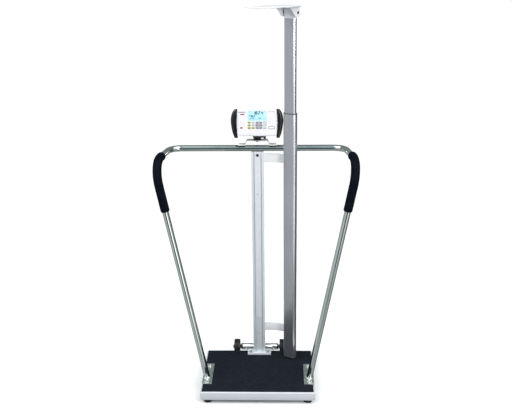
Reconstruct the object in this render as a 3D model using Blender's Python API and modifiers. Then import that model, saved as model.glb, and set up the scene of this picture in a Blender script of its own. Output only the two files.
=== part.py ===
"""Stand-on clinical scale with handrails, a tilting display and a telescoping height rod.

The object stands on the floor at z = 0, and its display and the open side of its handrail face
-Y. The platform's centre is the origin of the "scale" empty, which every other piece hangs from.
Lengths are in metres.
"""

import math

import bmesh
import bpy
from mathutils import Matrix, Vector

# ---------------------------------------------------------------- driving dimensions

GAP = 0.0003            # air left between touching pieces
PLATFORM_Y = -0.0385    # platform centre, so that the origin is in the middle of the footprint

PLATFORM_WIDTH = 0.457
PLATFORM_DEPTH = 0.356
PLATFORM_TOP = 0.056    # top of the mat above the floor
MAT_THICKNESS = 0.003
MAT_INSET = 0.0055
COVER_BOTTOM = 0.018
COVER_WALL = 0.002
COVER_TOP = PLATFORM_TOP - MAT_THICKNESS - GAP
FRAME_INSET = 0.012
FRAME_BAY = (0.165, 0.240)
FRAME_BAY_CENTRE = (0.1025, -0.020)
BOLT_HOLE = 0.0042
BOLT_SHANK = 0.0038
CABLE_HOLE = 0.006

FOOT_X = 0.200
FOOT_Y = 0.150
FOOT_RADIUS = 0.017
FOOT_PAD_HEIGHT = 0.011
STUD_RADIUS = 0.005
CELL_SIZE = (0.080, 0.024, 0.018)
CELL_BOTTOM = 0.0225
CELL_TOP = CELL_BOTTOM + CELL_SIZE[2]

TUBE_RADIUS = 0.0127
TUBE_WALL = 0.0016
RAIL_HEIGHT = 0.968     # axis of the cross bar above the floor
BAR_TOP = RAIL_HEIGHT + TUBE_RADIUS

COLUMN_Y = 0.160
COLUMN_WIDTH = 0.050
COLUMN_DEPTH = 0.025
COLUMN_WALL = 0.002
COLUMN_FRONT = COLUMN_Y - COLUMN_DEPTH / 2
COLUMN_TOP = RAIL_HEIGHT - TUBE_RADIUS - GAP
BASE_PLATE_SIZE = (0.100, 0.042, 0.010)
BASE_PLATE_Y = COLUMN_FRONT - 0.013 + BASE_PLATE_SIZE[1] / 2
BASE_PLATE_TOP = COVER_TOP + GAP + BASE_PLATE_SIZE[2]
BASE_BOLT_X = 0.037
BASE_BOLT_Y = COLUMN_FRONT - 0.003
COLUMN_BOTTOM = BASE_PLATE_TOP + GAP
STRIP_WIDTH = 0.026
STRIP_THICKNESS = 0.0015
STRIP_BOTTOM = 0.226

RAIL_FOOT = (0.210, -0.065)
RAIL_FRONT = (0.385, -0.082)
RAIL_REAR = (0.349, COLUMN_Y - 0.004)
RAIL_FRONT_BEND = 0.090
RAIL_REAR_BEND = 0.055
GRIP_RADIUS = 0.018
GRIP_START = 0.730      # distance along the rail from its foot
GRIP_END = 0.995
RAIL_PLATE_SIZE = (0.039, 0.166, 0.006)
RAIL_PLATE_CENTRE = (0.2065, -0.035)
RAIL_PLATE_TOP = COVER_TOP + GAP + RAIL_PLATE_SIZE[2]
RAIL_BOLT_Y = (-0.096, 0.030)

BRIDGE_TOP = 1.002
BRIDGE_THICKNESS = 0.002
BRIDGE_DEPTH = 0.040
BRIDGE_FLANGE = (0.048, 0.075)   # x of a flange's inner and outer end
PAD_HEIGHT = 0.0015     # how far a saddle pad stands above the bar
PAD_LIP = 0.0055        # how far it reaches down the bar's sides
SWIVEL_PIN = 0.006
SWIVEL_DISC = 0.0165
SWIVEL_DISC_TOP = 0.003
NECK_WIDTH = 0.024
NECK_TOP_RADIUS = 0.0075

DISPLAY_PIVOT = (0.0, RAIL_REAR[1], 1.015)
DISPLAY_TILT = math.radians(10)
DISPLAY_FACE_Y = -0.035          # face plane, measured from the tilt pivot
DISPLAY_BOTTOM = -0.003
DISPLAY_TOP = 0.109
DISPLAY_BODY_WIDTH = 0.153
DISPLAY_WIDTH = 0.208
DISPLAY_WALL = 0.0025
SLOPE_LOW = (-0.016, DISPLAY_BOTTOM)    # the sloping underside, as (depth, height)
SLOPE_HIGH = (0.016, 0.036)
FRONT_SHELL_DEPTH = 0.012
LCD_SIZE = (0.075, 0.041)
LCD_CENTRE = (0.001, 0.083)
OVERLAY_THICKNESS = 0.0008
BATTERY_OPENING = (0.082, 0.040)
BATTERY_Z = 0.066
LID_THICKNESS = 0.002
SHAFT_RADIUS = 0.003
YOKE_LEFT, YOKE_RIGHT = -0.0150, 0.0345
YOKE_FRONT = -0.033
YOKE_THICKNESS = 0.004
EAR_INNER, EAR_OUTER = NECK_WIDTH / 2 + 0.0005, 0.0150
KNOB_RADIUS = 0.010
KNOB_START, KNOB_END = 0.0255, YOKE_RIGHT

ROD_X = 0.1315
ROD_Y = 0.115
ROD_TURN = math.radians(-30)     # the rod's broad face looks at the platform's centre
ROD_BOTTOM = PLATFORM_TOP + 0.004
ROD_OUTER = (0.0535, 0.026, 0.0070)   # width, depth, chamfer
ROD_OUTER_WALL = 0.002
ROD_OUTER_TOP = 1.114
ROD_INNER = (0.0475, 0.0205, 0.0055)
ROD_INNER_WALL = 0.0015
ROD_INNER_LENGTH = 1.040
ROD_INNER_TOP = 1.508
STRAP_HEIGHT = 0.037
STRAP_THICKNESS = 0.003
STRAP_HEIGHTS = {"rod_bracket_lower": 0.180, "rod_bracket_upper": 0.927}

HEAD_PIN_Z = 1.502
HEAD_PIN_RADIUS = 0.0025
HEAD_PIN_HEAD = 0.0055
HEAD_CHEEK_IN = 0.0287           # inner face of a cheek from the rod's middle
HEAD_CHEEK_WALL = 0.0028
HEAD_PLATE_UNDER = 0.0225        # underside of the paddle above the pin
HEAD_PLATE_THICKNESS = 0.005
HEAD_REACH = 0.250
HEAD_HALF_WIDTH = 0.052
HEAD_CORNER = 0.020
HEAD_PITCH = math.radians(2)     # the paddle rises slightly towards its tip

WHEEL_RADIUS = 0.033
WHEEL_WIDTH = 0.025
WHEEL_X = 0.0995
WHEEL_HUB_WIDTH = 0.032
WHEEL_HUB_RADIUS = 0.009
AXLE_Y = 0.222
AXLE_Z = 0.050
AXLE_TUBE_RADIUS = 0.014
AXLE_END_RADIUS = 0.005

# ---------------------------------------------------------------- scene helpers


def clear_scene():
    for obj in list(bpy.data.objects):
        bpy.data.objects.remove(obj, do_unlink=True)


def make_collection(name):
    collection = bpy.data.collections.new(name)
    bpy.context.scene.collection.children.link(collection)
    return collection


def make_material(name, colour, roughness, metallic=0.0):
    material = bpy.data.materials.new(name)
    material.use_nodes = True
    shader = material.node_tree.nodes["Principled BSDF"]
    shader.inputs["Base Color"].default_value = (*colour, 1.0)
    shader.inputs["Roughness"].default_value = roughness
    shader.inputs["Metallic"].default_value = metallic
    return material


def make_empty(name, location, rotation=(0, 0, 0), parent=None):
    empty = bpy.data.objects.new(name, None)
    empty.location = location
    empty.rotation_euler = rotation
    empty.parent = parent
    PARTS.objects.link(empty)
    return empty


def place(obj, material, parent, location=(0, 0, 0), rotation=(0, 0, 0)):
    """Links a finished object into the assembly, under its parent empty."""
    obj.data.materials.append(material)
    obj.parent = parent
    obj.location = location
    obj.rotation_euler = rotation
    PARTS.objects.link(obj)
    return obj


def smooth(obj, degrees=35):
    obj.data.shade_smooth()
    obj.data.set_sharp_from_angle(angle=math.radians(degrees))


def object_from_bmesh(name, mesh_builder):
    mesh = bpy.data.meshes.new(name)
    mesh_builder.to_mesh(mesh)
    mesh_builder.free()
    return bpy.data.objects.new(name, mesh)


def add_bevel(obj, width, segments=2):
    bevel = obj.modifiers.new("round_edges", "BEVEL")
    bevel.width = width
    bevel.segments = segments
    bevel.limit_method = "ANGLE"
    bevel.angle_limit = math.radians(40)


def add_solidify(obj, thickness):
    """Gives an open surface a wall that grows inwards."""
    wall = obj.modifiers.new("wall", "SOLIDIFY")
    wall.thickness = thickness
    wall.offset = -1
    wall.use_even_offset = True


# ---------------------------------------------------------------- shape makers


def box(name, size, bevel=0.0):
    shape = bmesh.new()
    bmesh.ops.create_cube(shape, size=1.0, matrix=Matrix.Diagonal((*size, 1.0)))
    obj = object_from_bmesh(name, shape)
    if bevel:
        add_bevel(obj, bevel)
    return obj


def cylinder(name, radius, length, segments=24, axis="Z"):
    shape = bmesh.new()
    bmesh.ops.create_cone(
        shape, cap_ends=True, segments=segments, radius1=radius, radius2=radius, depth=length
    )
    if axis == "X":
        bmesh.ops.rotate(shape, verts=shape.verts, matrix=Matrix.Rotation(math.pi / 2, 3, "Y"))
    if axis == "Y":
        bmesh.ops.rotate(shape, verts=shape.verts, matrix=Matrix.Rotation(math.pi / 2, 3, "X"))
    obj = object_from_bmesh(name, shape)
    smooth(obj)
    return obj


def turned(name, profile, segments=24):
    """Turns (radius, height) points, listed from the top down, about Z."""
    mesh = bpy.data.meshes.new(name)
    edges = [(i, i + 1) for i in range(len(profile) - 1)]
    if profile[0][0] > 0:
        edges.append((len(profile) - 1, 0))
    mesh.from_pydata([(r, 0, z) for r, z in profile], edges, [])
    obj = bpy.data.objects.new(name, mesh)
    screw = obj.modifiers.new("turn", "SCREW")
    screw.steps = segments
    screw.render_steps = segments
    screw.use_merge_vertices = True
    screw.merge_threshold = 0.00001
    return obj


def outline_curve(name, loops, thickness):
    """A flat outline in XY, with any holes as further loops, thickened both ways along Z."""
    curve = bpy.data.curves.new(name, "CURVE")
    curve.dimensions = "2D"
    curve.fill_mode = "BOTH"
    curve.extrude = thickness / 2
    for loop in loops:
        spline = curve.splines.new("POLY")
        spline.points.add(len(loop) - 1)
        for point, (x, y) in zip(spline.points, loop):
            point.co = (x, y, 0, 1)
        spline.use_cyclic_u = True
    return bpy.data.objects.new(name, curve)


def meshed(curve_object):
    """The mesh of a curve object, with its caps welded on, as a new object of the same name."""
    name = curve_object.name
    bpy.context.scene.collection.objects.link(curve_object)
    bpy.context.view_layer.update()
    graph = bpy.context.evaluated_depsgraph_get()
    mesh = bpy.data.meshes.new_from_object(curve_object.evaluated_get(graph))
    shape = bmesh.new()
    shape.from_mesh(mesh)
    bmesh.ops.remove_doubles(shape, verts=shape.verts, dist=0.00001)
    shape.to_mesh(mesh)
    shape.free()
    bpy.data.objects.remove(curve_object, do_unlink=True)
    return bpy.data.objects.new(name, mesh)


def plate(name, loops, thickness):
    return meshed(outline_curve(name, loops, thickness))


def tube_curve(name, points, radius, resolution=4, caps=True):
    curve = bpy.data.curves.new(name, "CURVE")
    curve.dimensions = "3D"
    curve.bevel_depth = radius
    curve.bevel_resolution = resolution
    curve.use_fill_caps = caps
    spline = curve.splines.new("POLY")
    spline.points.add(len(points) - 1)
    for point, co in zip(spline.points, points):
        point.co = (*co, 1)
    return bpy.data.objects.new(name, curve)


def hollow_tube(name, points, radius, wall, resolution=4):
    obj = meshed(tube_curve(name, points, radius, resolution, caps=False))
    add_solidify(obj, wall)
    smooth(obj)
    return obj


def cut(target, *cutters):
    """Takes each cutter out of the target. A cutter shares the target's frame."""
    for cutter in cutters:
        CUTTERS.objects.link(cutter)
        cutter.hide_render = True
        cutter.display_type = "WIRE"
        cutter.parent = target.parent
        cutter.location = target.location
        cutter.rotation_euler = target.rotation_euler
        boolean = target.modifiers.new("cut", "BOOLEAN")
        boolean.operation = "DIFFERENCE"
        boolean.solver = "EXACT"
        boolean.object = cutter


def keep_common(target, other):
    cut(target, other)
    target.modifiers[-1].operation = "INTERSECT"


def join(target, other):
    cut(target, other)
    target.modifiers[-1].operation = "UNION"


def moved(obj, offset):
    """Shifts an object's mesh within its own frame."""
    obj.data.transform(Matrix.Translation(offset))
    return obj


def turned_about(obj, angle, axis):
    obj.data.transform(Matrix.Rotation(angle, 4, axis))
    return obj


# ---------------------------------------------------------------- outlines


def rectangle(width, depth, centre=(0, 0)):
    x, y = width / 2, depth / 2
    corners = ((-1, -1), (1, -1), (1, 1), (-1, 1))
    return [(centre[0] + sx * x, centre[1] + sy * y) for sx, sy in corners]


def arc(centre, radius, start, end, steps):
    """Points on an arc, with its angles in degrees."""
    angles = [math.radians(start + (end - start) * i / steps) for i in range(steps + 1)]
    return [(centre[0] + radius * math.cos(a), centre[1] + radius * math.sin(a)) for a in angles]


def circle(radius, centre=(0, 0), steps=20):
    return arc(centre, radius, 0, 360, steps)[:-1]


def rounded_rectangle(width, depth, radius, centre=(0, 0), steps=3):
    points = []
    for i, (sx, sy) in enumerate(((1, 1), (-1, 1), (-1, -1), (1, -1))):
        corner = (centre[0] + sx * (width / 2 - radius), centre[1] + sy * (depth / 2 - radius))
        points += arc(corner, radius, 90 * i, 90 * (i + 1), steps)
    return points


def chamfered(width, depth, chamfer):
    """The height rod's eight-sided section."""
    x, y, c = width / 2, depth / 2, chamfer
    return [
        (-x + c, -y), (x - c, -y), (x, -y + c), (x, y - c),
        (x - c, y), (-x + c, y), (-x, y - c), (-x, -y + c),
    ]


def shrunk(section, wall):
    """A section's width, depth and chamfer, with a wall taken off every face."""
    width, depth, chamfer = section
    return width - 2 * wall, depth - 2 * wall, chamfer - wall * (2 - math.sqrt(2))


def strip_outline(path, thickness):
    """The outline of a strip of metal that follows a path on the floor plan."""
    left, right = [], []
    for i, point in enumerate(path):
        before = Vector(path[max(i - 1, 0)])
        after = Vector(path[min(i + 1, len(path) - 1)])
        along = (after - before).normalized()
        side = Vector((-along.y, along.x)) * thickness / 2
        left.append(tuple(Vector(point) + side))
        right.append(tuple(Vector(point) - side))
    return left + right[::-1]


def bend(start, corner, end, radius, steps):
    """Points of the arc that rounds a corner between two straight runs."""
    start, corner, end = Vector(start), Vector(corner), Vector(end)
    back, ahead = (start - corner).normalized(), (end - corner).normalized()
    half = back.angle(ahead) / 2
    centre = corner + (back + ahead).normalized() * radius / math.sin(half)
    first = corner + back * radius / math.tan(half)
    last = corner + ahead * radius / math.tan(half)
    return [
        centre + (first - centre).slerp(last - centre, i / steps) * radius for i in range(steps + 1)
    ]


# ---------------------------------------------------------------- platform


def bolt_positions():
    """Where the rail plates and the column's base plate are bolted through the cover."""
    rails = [(x, y) for x in (-RAIL_PLATE_CENTRE[0], RAIL_PLATE_CENTRE[0]) for y in RAIL_BOLT_Y]
    return rails + [(-BASE_BOLT_X, BASE_BOLT_Y), (BASE_BOLT_X, BASE_BOLT_Y)]


def build_cover():
    height = COVER_TOP - COVER_BOTTOM
    size = (PLATFORM_WIDTH, PLATFORM_DEPTH, height)
    shape = bmesh.new()
    bmesh.ops.create_cube(shape, size=1.0, matrix=Matrix.Diagonal((*size, 1.0)))
    underside = [f for f in shape.faces if f.normal.z < -0.5]
    bmesh.ops.delete(shape, geom=underside, context="FACES_ONLY")
    cover = object_from_bmesh("platform_cover", shape)
    add_bevel(cover, 0.004)
    add_solidify(cover, COVER_WALL)
    place(cover, WHITE_STEEL, SCALE, (0, 0, COVER_BOTTOM + height / 2))
    for x, y in bolt_positions():
        cut(cover, moved(cylinder("cover_hole", BOLT_HOLE, 0.02, 12), (x, y, height / 2)))
    cable_hole = cylinder("cover_cable_hole", CABLE_HOLE, 0.02, 12)
    cut(cover, moved(cable_hole, (0, COLUMN_Y, height / 2)))


def mat_outline():
    """The mat's edge, notched round the column's base plate and the two rail plates."""
    x = PLATFORM_WIDTH / 2 - MAT_INSET
    y = PLATFORM_DEPTH / 2 - MAT_INSET
    clearance = 0.001
    notch_x = RAIL_PLATE_CENTRE[0] - RAIL_PLATE_SIZE[0] / 2 - clearance
    front = RAIL_PLATE_CENTRE[1] - RAIL_PLATE_SIZE[1] / 2 - clearance
    rear = RAIL_PLATE_CENTRE[1] + RAIL_PLATE_SIZE[1] / 2 + clearance
    base_x = BASE_PLATE_SIZE[0] / 2 + clearance
    base_y = BASE_PLATE_Y - BASE_PLATE_SIZE[1] / 2 - clearance
    half = [
        (x, -y), (x, front), (notch_x, front), (notch_x, rear),
        (x, rear), (x, y), (base_x, y), (base_x, base_y),
    ]
    return half + [(-px, py) for px, py in reversed(half)]


def build_mat():
    mat = plate("platform_mat", [mat_outline()], MAT_THICKNESS)
    place(mat, MAT_RUBBER, SCALE, (0, 0, PLATFORM_TOP - MAT_THICKNESS / 2))


def build_frame():
    """The welded ladder of flat tube under the cover, which the load cells hang from."""
    top = COVER_TOP - COVER_WALL - GAP
    bottom = CELL_TOP + GAP
    outer = rectangle(PLATFORM_WIDTH - 2 * FRAME_INSET, PLATFORM_DEPTH - 2 * FRAME_INSET)
    bay_x, bay_y = FRAME_BAY_CENTRE
    bays = [rectangle(*FRAME_BAY, (x, bay_y)) for x in (-bay_x, bay_x)]
    holes = [circle(BOLT_HOLE, centre, 12) for centre in bolt_positions()]
    holes.append(circle(CABLE_HOLE, (0, COLUMN_Y), 12))
    frame = plate("platform_frame", [outer, *bays, *holes], top - bottom)
    place(frame, DARK_STEEL, SCALE, (0, 0, (top + bottom) / 2))


def build_corner(name, side_x, side_y):
    """One load cell and the levelling foot that screws into its outer end."""
    cell_x = FOOT_X - CELL_SIZE[0] / 2 + 0.014
    cell_z = (CELL_BOTTOM + CELL_TOP) / 2
    cell = box("load_cell_" + name, CELL_SIZE)
    place(cell, BARE_ALUMINIUM, SCALE, (side_x * cell_x, side_y * FOOT_Y, cell_z))
    socket = cylinder("foot_socket", STUD_RADIUS + GAP, 0.03, 16)
    cut(cell, moved(socket, (side_x * (FOOT_X - cell_x), 0, 0)))
    foot = turned(
        "leveling_foot_" + name,
        [
            (0, CELL_TOP - 0.002), (STUD_RADIUS, CELL_TOP - 0.002),
            (STUD_RADIUS, FOOT_PAD_HEIGHT),
            (FOOT_RADIUS * 0.8, FOOT_PAD_HEIGHT - 0.001), (FOOT_RADIUS, FOOT_PAD_HEIGHT * 0.45),
            (FOOT_RADIUS, 0.0015), (FOOT_RADIUS - 0.0015, 0), (0, 0),
        ],
    )
    place(foot, BLACK_RUBBER, SCALE, (side_x * FOOT_X, side_y * FOOT_Y, 0))


def build_platform():
    build_cover()
    build_mat()
    build_frame()
    for row, side_y in (("front", -1), ("rear", 1)):
        for column, side_x in (("left", -1), ("right", 1)):
            build_corner(row + "_" + column, side_x, side_y)
    junction = box("junction_box", (0.020, 0.070, 0.016), 0.002)
    place(junction, BLACK_PLASTIC, SCALE, (0, 0, CELL_TOP - 0.008))


# ---------------------------------------------------------------- column

def screw(name, head_radius, head_height, shank_radius, shank_length, segments=16):
    """A flanged pan-head screw whose flange rests on z = 0 and whose shank points down."""
    return turned(
        name,
        [
            (0, head_height), (head_radius * 0.45, head_height * 0.92),
            (head_radius * 0.7, head_height * 0.6), (head_radius * 0.75, head_height * 0.28),
            (head_radius, head_height * 0.2), (head_radius, 0),
            (shank_radius, 0), (shank_radius, -shank_length), (0, -shank_length),
        ],
        segments,
    )


def build_base_plate():
    bolt_y = BASE_BOLT_Y - BASE_PLATE_Y
    holes = [circle(BOLT_HOLE, (x, bolt_y), 12) for x in (-BASE_BOLT_X, BASE_BOLT_X)]
    holes.append(circle(CABLE_HOLE, (0, COLUMN_Y - BASE_PLATE_Y), 12))
    outline = rectangle(BASE_PLATE_SIZE[0], BASE_PLATE_SIZE[1])
    base = plate("column_base_plate", [outline, *holes], BASE_PLATE_SIZE[2])
    place(base, WHITE_STEEL, SCALE, (0, BASE_PLATE_Y, BASE_PLATE_TOP - BASE_PLATE_SIZE[2] / 2))
    for name, x in (("left", -BASE_BOLT_X), ("right", BASE_BOLT_X)):
        bolt = screw("column_base_bolt_" + name, 0.0075, 0.005, BOLT_SHANK, 0.020)
        place(bolt, ZINC, SCALE, (x, BASE_BOLT_Y, BASE_PLATE_TOP + GAP))


def column_section():
    """The extrusion's section: a box with a shallow groove each side of the front strip."""
    x, y = COLUMN_WIDTH / 2, COLUMN_DEPTH / 2
    groove_in, groove_out, groove_deep = STRIP_WIDTH / 2, STRIP_WIDTH / 2 + 0.003, 0.001
    outer = [
        (-x, -y), (-groove_out, -y), (-groove_out, -y + groove_deep), (-groove_in, -y + groove_deep),
        (-groove_in, -y), (groove_in, -y), (groove_in, -y + groove_deep), (groove_out, -y + groove_deep),
        (groove_out, -y), (x, -y), (x, y), (-x, y),
    ]
    inner = rectangle(COLUMN_WIDTH - 2 * COLUMN_WALL, COLUMN_DEPTH - 2 * COLUMN_WALL)
    return [outer, inner]


def build_column():
    post = plate("column_post", column_section(), COLUMN_TOP - COLUMN_BOTTOM)
    place(post, COLUMN_ALUMINIUM, SCALE, (0, COLUMN_Y, (COLUMN_TOP + COLUMN_BOTTOM) / 2))
    strip_height = COLUMN_TOP - 0.004 - STRIP_BOTTOM
    strip = box("column_front_strip", (STRIP_WIDTH - 0.001, STRIP_THICKNESS, strip_height))
    strip_y = COLUMN_FRONT - GAP - STRIP_THICKNESS / 2
    place(strip, STRIP_GREY, SCALE, (0, strip_y, STRIP_BOTTOM + strip_height / 2))
    facing_front = (math.pi / 2, 0, 0)
    front = COLUMN_FRONT - 2 * GAP
    screws = (
        ("column_top_bolt", 0.0055, 0.0035, COLUMN_TOP - 0.014, front - STRIP_THICKNESS),
        ("strip_screw_upper", 0.0028, 0.0015, 0.778, front - STRIP_THICKNESS),
        ("strip_screw_lower", 0.0028, 0.0015, 0.155, front),
    )
    for name, radius, height, z, y in screws:
        head = turned(
            name,
            [(0, height), (radius * 0.6, height), (radius, height * 0.5), (radius, 0), (0, 0)],
            16,
        )
        place(head, BLACK_PLASTIC, SCALE, (0, y, z), facing_front)


def build_cable():
    """The signal cable, from the junction box and up through the column to the display."""
    radius = 0.0025
    top = COLUMN_TOP - 0.006
    corner = (0, COLUMN_Y, 0.033)
    start = (0, 0.0355, 0.033)
    points = [start, *bend(start, corner, (0, COLUMN_Y, top), 0.015, 6), (0, COLUMN_Y, top)]
    cable = tube_curve("signal_cable", points, radius, 2)
    place(cable, BLACK_RUBBER, SCALE)


# ---------------------------------------------------------------- handrail


def rail_half(bend_steps=8):
    """The tube's axis on the right side, from its foot to the middle of the cross bar."""
    foot_z = RAIL_PLATE_TOP + GAP
    foot = Vector((*RAIL_FOOT, foot_z + 0.004))
    front = Vector((*RAIL_FRONT, RAIL_HEIGHT))
    rear = Vector((*RAIL_REAR, RAIL_HEIGHT))
    middle = Vector((0, RAIL_REAR[1], RAIL_HEIGHT))
    return (
        [Vector((*RAIL_FOOT, foot_z)), foot]
        + bend(foot, front, rear, RAIL_FRONT_BEND, bend_steps)
        + bend(front, rear, middle, RAIL_REAR_BEND, bend_steps)
        + [middle]
    )


def mirrored(points):
    return [Vector((-p.x, p.y, p.z)) for p in points]


def resampled(points, start, end, count):
    """Evenly spaced points on a path, between two distances along it."""
    lengths = [0.0]
    for a, b in zip(points, points[1:]):
        lengths.append(lengths[-1] + (b - a).length)
    found = []
    for i in range(count):
        at = start + (end - start) * i / (count - 1)
        k = max(j for j in range(len(points) - 1) if lengths[j] <= at)
        share = (at - lengths[k]) / (lengths[k + 1] - lengths[k])
        found.append(points[k].lerp(points[k + 1], share))
    return found


def build_handrail():
    right = rail_half()
    whole = mirrored(right)[:-1] + right[::-1]
    place(hollow_tube("handrail_tube", whole, TUBE_RADIUS, TUBE_WALL, 3), CHROME, SCALE)
    grip_path = resampled(rail_half(16), GRIP_START, GRIP_END, 14)
    for side, path in (("left", mirrored(grip_path)), ("right", grip_path)):
        grip = meshed(tube_curve("handrail_grip_" + side, path, GRIP_RADIUS, 4))
        place(grip, FOAM, SCALE)
        cut(grip, meshed(tube_curve("grip_bore_" + side, whole, TUBE_RADIUS + GAP, 3)))
        smooth(grip)
    for side, sign in (("left", -1), ("right", 1)):
        centre = (sign * RAIL_PLATE_CENTRE[0], RAIL_PLATE_CENTRE[1])
        outline = rounded_rectangle(RAIL_PLATE_SIZE[0], RAIL_PLATE_SIZE[1], 0.004, steps=2)
        holes = [circle(BOLT_HOLE, (0, y - centre[1]), 12) for y in RAIL_BOLT_Y]
        rail_plate = plate("rail_plate_" + side, [outline, *holes], RAIL_PLATE_SIZE[2])
        place(rail_plate, ZINC, SCALE, (*centre, RAIL_PLATE_TOP - RAIL_PLATE_SIZE[2] / 2))
        for end, y in zip(("front", "rear"), RAIL_BOLT_Y):
            bolt = screw("rail_bolt_" + end + "_" + side, 0.0085, 0.007, BOLT_SHANK, 0.016)
            place(bolt, ZINC, SCALE, (centre[0], y, RAIL_PLATE_TOP + GAP))


# ---------------------------------------------------------------- display and its mount


def bridge_path():
    """The bent strap's middle line, seen from the front, right half from the top down."""
    half = BRIDGE_THICKNESS / 2
    top, low = BRIDGE_TOP - half, BAR_TOP + PAD_HEIGHT + half + GAP
    inner, outer = BRIDGE_FLANGE
    shoulder = (inner - 0.006, top)
    knee = (inner, low)
    start, end = (0, top), (outer, low)
    bends = bend(start, shoulder, knee, 0.008, 4) + bend(shoulder, knee, end, 0.004, 3)
    return [p.to_tuple() for p in bends] + [end]


def build_bridge():
    half = bridge_path()
    path = [(-x, z) for x, z in reversed(half)] + half
    bridge = plate("display_bridge", [strip_outline(path, BRIDGE_THICKNESS)], BRIDGE_DEPTH)
    turned_about(bridge, math.pi / 2, "X")
    place(bridge, WHITE_STEEL, SCALE, (0, RAIL_REAR[1], 0))
    pin_hole = cylinder("bridge_pin_hole", SWIVEL_PIN + GAP, 0.02, 16)
    cut(bridge, moved(pin_hole, (0, 0, BRIDGE_TOP)))
    inner, outer = BRIDGE_FLANGE
    for side, sign in (("left", -1), ("right", 1)):
        pad_height = PAD_HEIGHT + PAD_LIP
        pad_centre = BAR_TOP + PAD_HEIGHT - pad_height / 2
        pad = box("saddle_pad_" + side, (outer - inner, 0.024, pad_height))
        place(pad, BLACK_RUBBER, SCALE, (sign * (inner + outer) / 2, RAIL_REAR[1], pad_centre))
        bar = cylinder("pad_seat", TUBE_RADIUS + GAP, 0.05, 24, "X")
        cut(pad, moved(bar, (0, 0, RAIL_HEIGHT - pad_centre)))


def build_swivel(swivel):
    """The turning neck. Its frame stands on the bridge, on the swivel axis."""
    disc_top = SWIVEL_DISC_TOP
    pin_end = -BRIDGE_THICKNESS - 0.006
    disc = turned(
        "swivel_disc",
        [
            (0, disc_top), (SWIVEL_DISC - 0.001, disc_top), (SWIVEL_DISC, disc_top - 0.001),
            (SWIVEL_DISC, GAP), (SWIVEL_PIN, GAP), (SWIVEL_PIN, pin_end), (0, pin_end),
        ],
    )
    place(disc, BLACK_PLASTIC, swivel)
    axis_z = DISPLAY_PIVOT[2] - BRIDGE_TOP
    foot_z = disc_top + GAP
    outline = [(-NECK_TOP_RADIUS, foot_z), (NECK_TOP_RADIUS, foot_z)]
    outline += arc((0, axis_z), NECK_TOP_RADIUS, 0, 180, 8)
    hole = circle(SHAFT_RADIUS + GAP, (0, axis_z), 16)
    neck = plate("swivel_neck", [outline, hole], NECK_WIDTH)
    stand_up(neck)
    place(neck, BLACK_PLASTIC, swivel)


def stand_up(obj):
    """Turns a plate drawn as (depth, height) so that depth runs along Y, height along Z."""
    obj.data.transform(Matrix(((0, 0, 1, 0), (1, 0, 0, 0), (0, 1, 0, 0), (0, 0, 0, 1))))
    return obj


def housing_profile(wall=0.0, front=None):
    """The display's side view as (depth, height), with a wall taken off, from a front plane back."""
    front = DISPLAY_FACE_Y + FRONT_SHELL_DEPTH + GAP if front is None else front
    slope = (Vector(SLOPE_HIGH) - Vector(SLOPE_LOW)).normalized()
    low = Vector(SLOPE_LOW) + Vector((0, wall)) + slope * wall * 0.35 + Vector((-wall * 0.6, 0))
    high = Vector(SLOPE_HIGH) + Vector((-wall, wall * 0.55))
    return [
        (front, DISPLAY_BOTTOM + wall), tuple(low), tuple(high),
        (SLOPE_HIGH[0] - wall, 0.094 - wall * 0.4),
        (SLOPE_HIGH[0] - 0.014 - wall * 0.4, DISPLAY_TOP - wall),
        (front, DISPLAY_TOP - wall),
    ]


def build_rear_shell(display):
    shell = stand_up(plate("display_rear_shell", [housing_profile()], DISPLAY_BODY_WIDTH))
    place(shell, WHITE_PLASTIC, display)
    inside = housing_profile(DISPLAY_WALL, DISPLAY_FACE_Y)
    hollow = plate("rear_hollow", [inside], DISPLAY_BODY_WIDTH - 2 * DISPLAY_WALL)
    cut(shell, stand_up(hollow))


def build_front_shell(display):
    height = DISPLAY_TOP - DISPLAY_BOTTOM
    size = (DISPLAY_BODY_WIDTH, FRONT_SHELL_DEPTH, height)
    shape = bmesh.new()
    bmesh.ops.create_cube(shape, size=1.0, matrix=Matrix.Diagonal((*size, 1.0)))
    rear = [f for f in shape.faces if f.normal.y > 0.5]
    bmesh.ops.delete(shape, geom=rear, context="FACES_ONLY")
    shell = object_from_bmesh("display_front_shell", shape)
    add_solidify(shell, DISPLAY_WALL)
    centre = (0, DISPLAY_FACE_Y + FRONT_SHELL_DEPTH / 2, (DISPLAY_TOP + DISPLAY_BOTTOM) / 2)
    place(shell, WHITE_PLASTIC, display, centre)
    window = box("window_cutter", (LCD_SIZE[0] + 2 * GAP, 0.02, LCD_SIZE[1] + 2 * GAP))
    cut(shell, moved(window, (LCD_CENTRE[0], -FRONT_SHELL_DEPTH / 2, LCD_CENTRE[1] - centre[2])))


def build_face(display):
    """The printed membrane overlay, and the LCD that shows through its window."""
    margin = 0.003
    width = DISPLAY_BODY_WIDTH - 2 * margin
    height = DISPLAY_TOP - DISPLAY_BOTTOM - 2 * margin
    middle = (0, (DISPLAY_TOP + DISPLAY_BOTTOM) / 2)
    outline = rounded_rectangle(width, height, 0.005, middle)
    window = rectangle(LCD_SIZE[0] - 0.002, LCD_SIZE[1] - 0.002, LCD_CENTRE)
    overlay = plate("keypad_overlay", [outline, window], OVERLAY_THICKNESS)
    turned_about(overlay, math.pi / 2, "X")
    place(overlay, OVERLAY_WHITE, display, (0, DISPLAY_FACE_Y - GAP - OVERLAY_THICKNESS / 2, 0))
    lcd = box("lcd_panel", (LCD_SIZE[0], 0.005, LCD_SIZE[1]))
    place(lcd, LCD_BLUE, display, (LCD_CENTRE[0], DISPLAY_FACE_Y + 0.0025, LCD_CENTRE[1]))
    board = box("main_board", (0.130, 0.0016, 0.090))
    place(board, BOARD_GREEN, display, (0, DISPLAY_FACE_Y + 0.0085, middle[1]))


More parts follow.
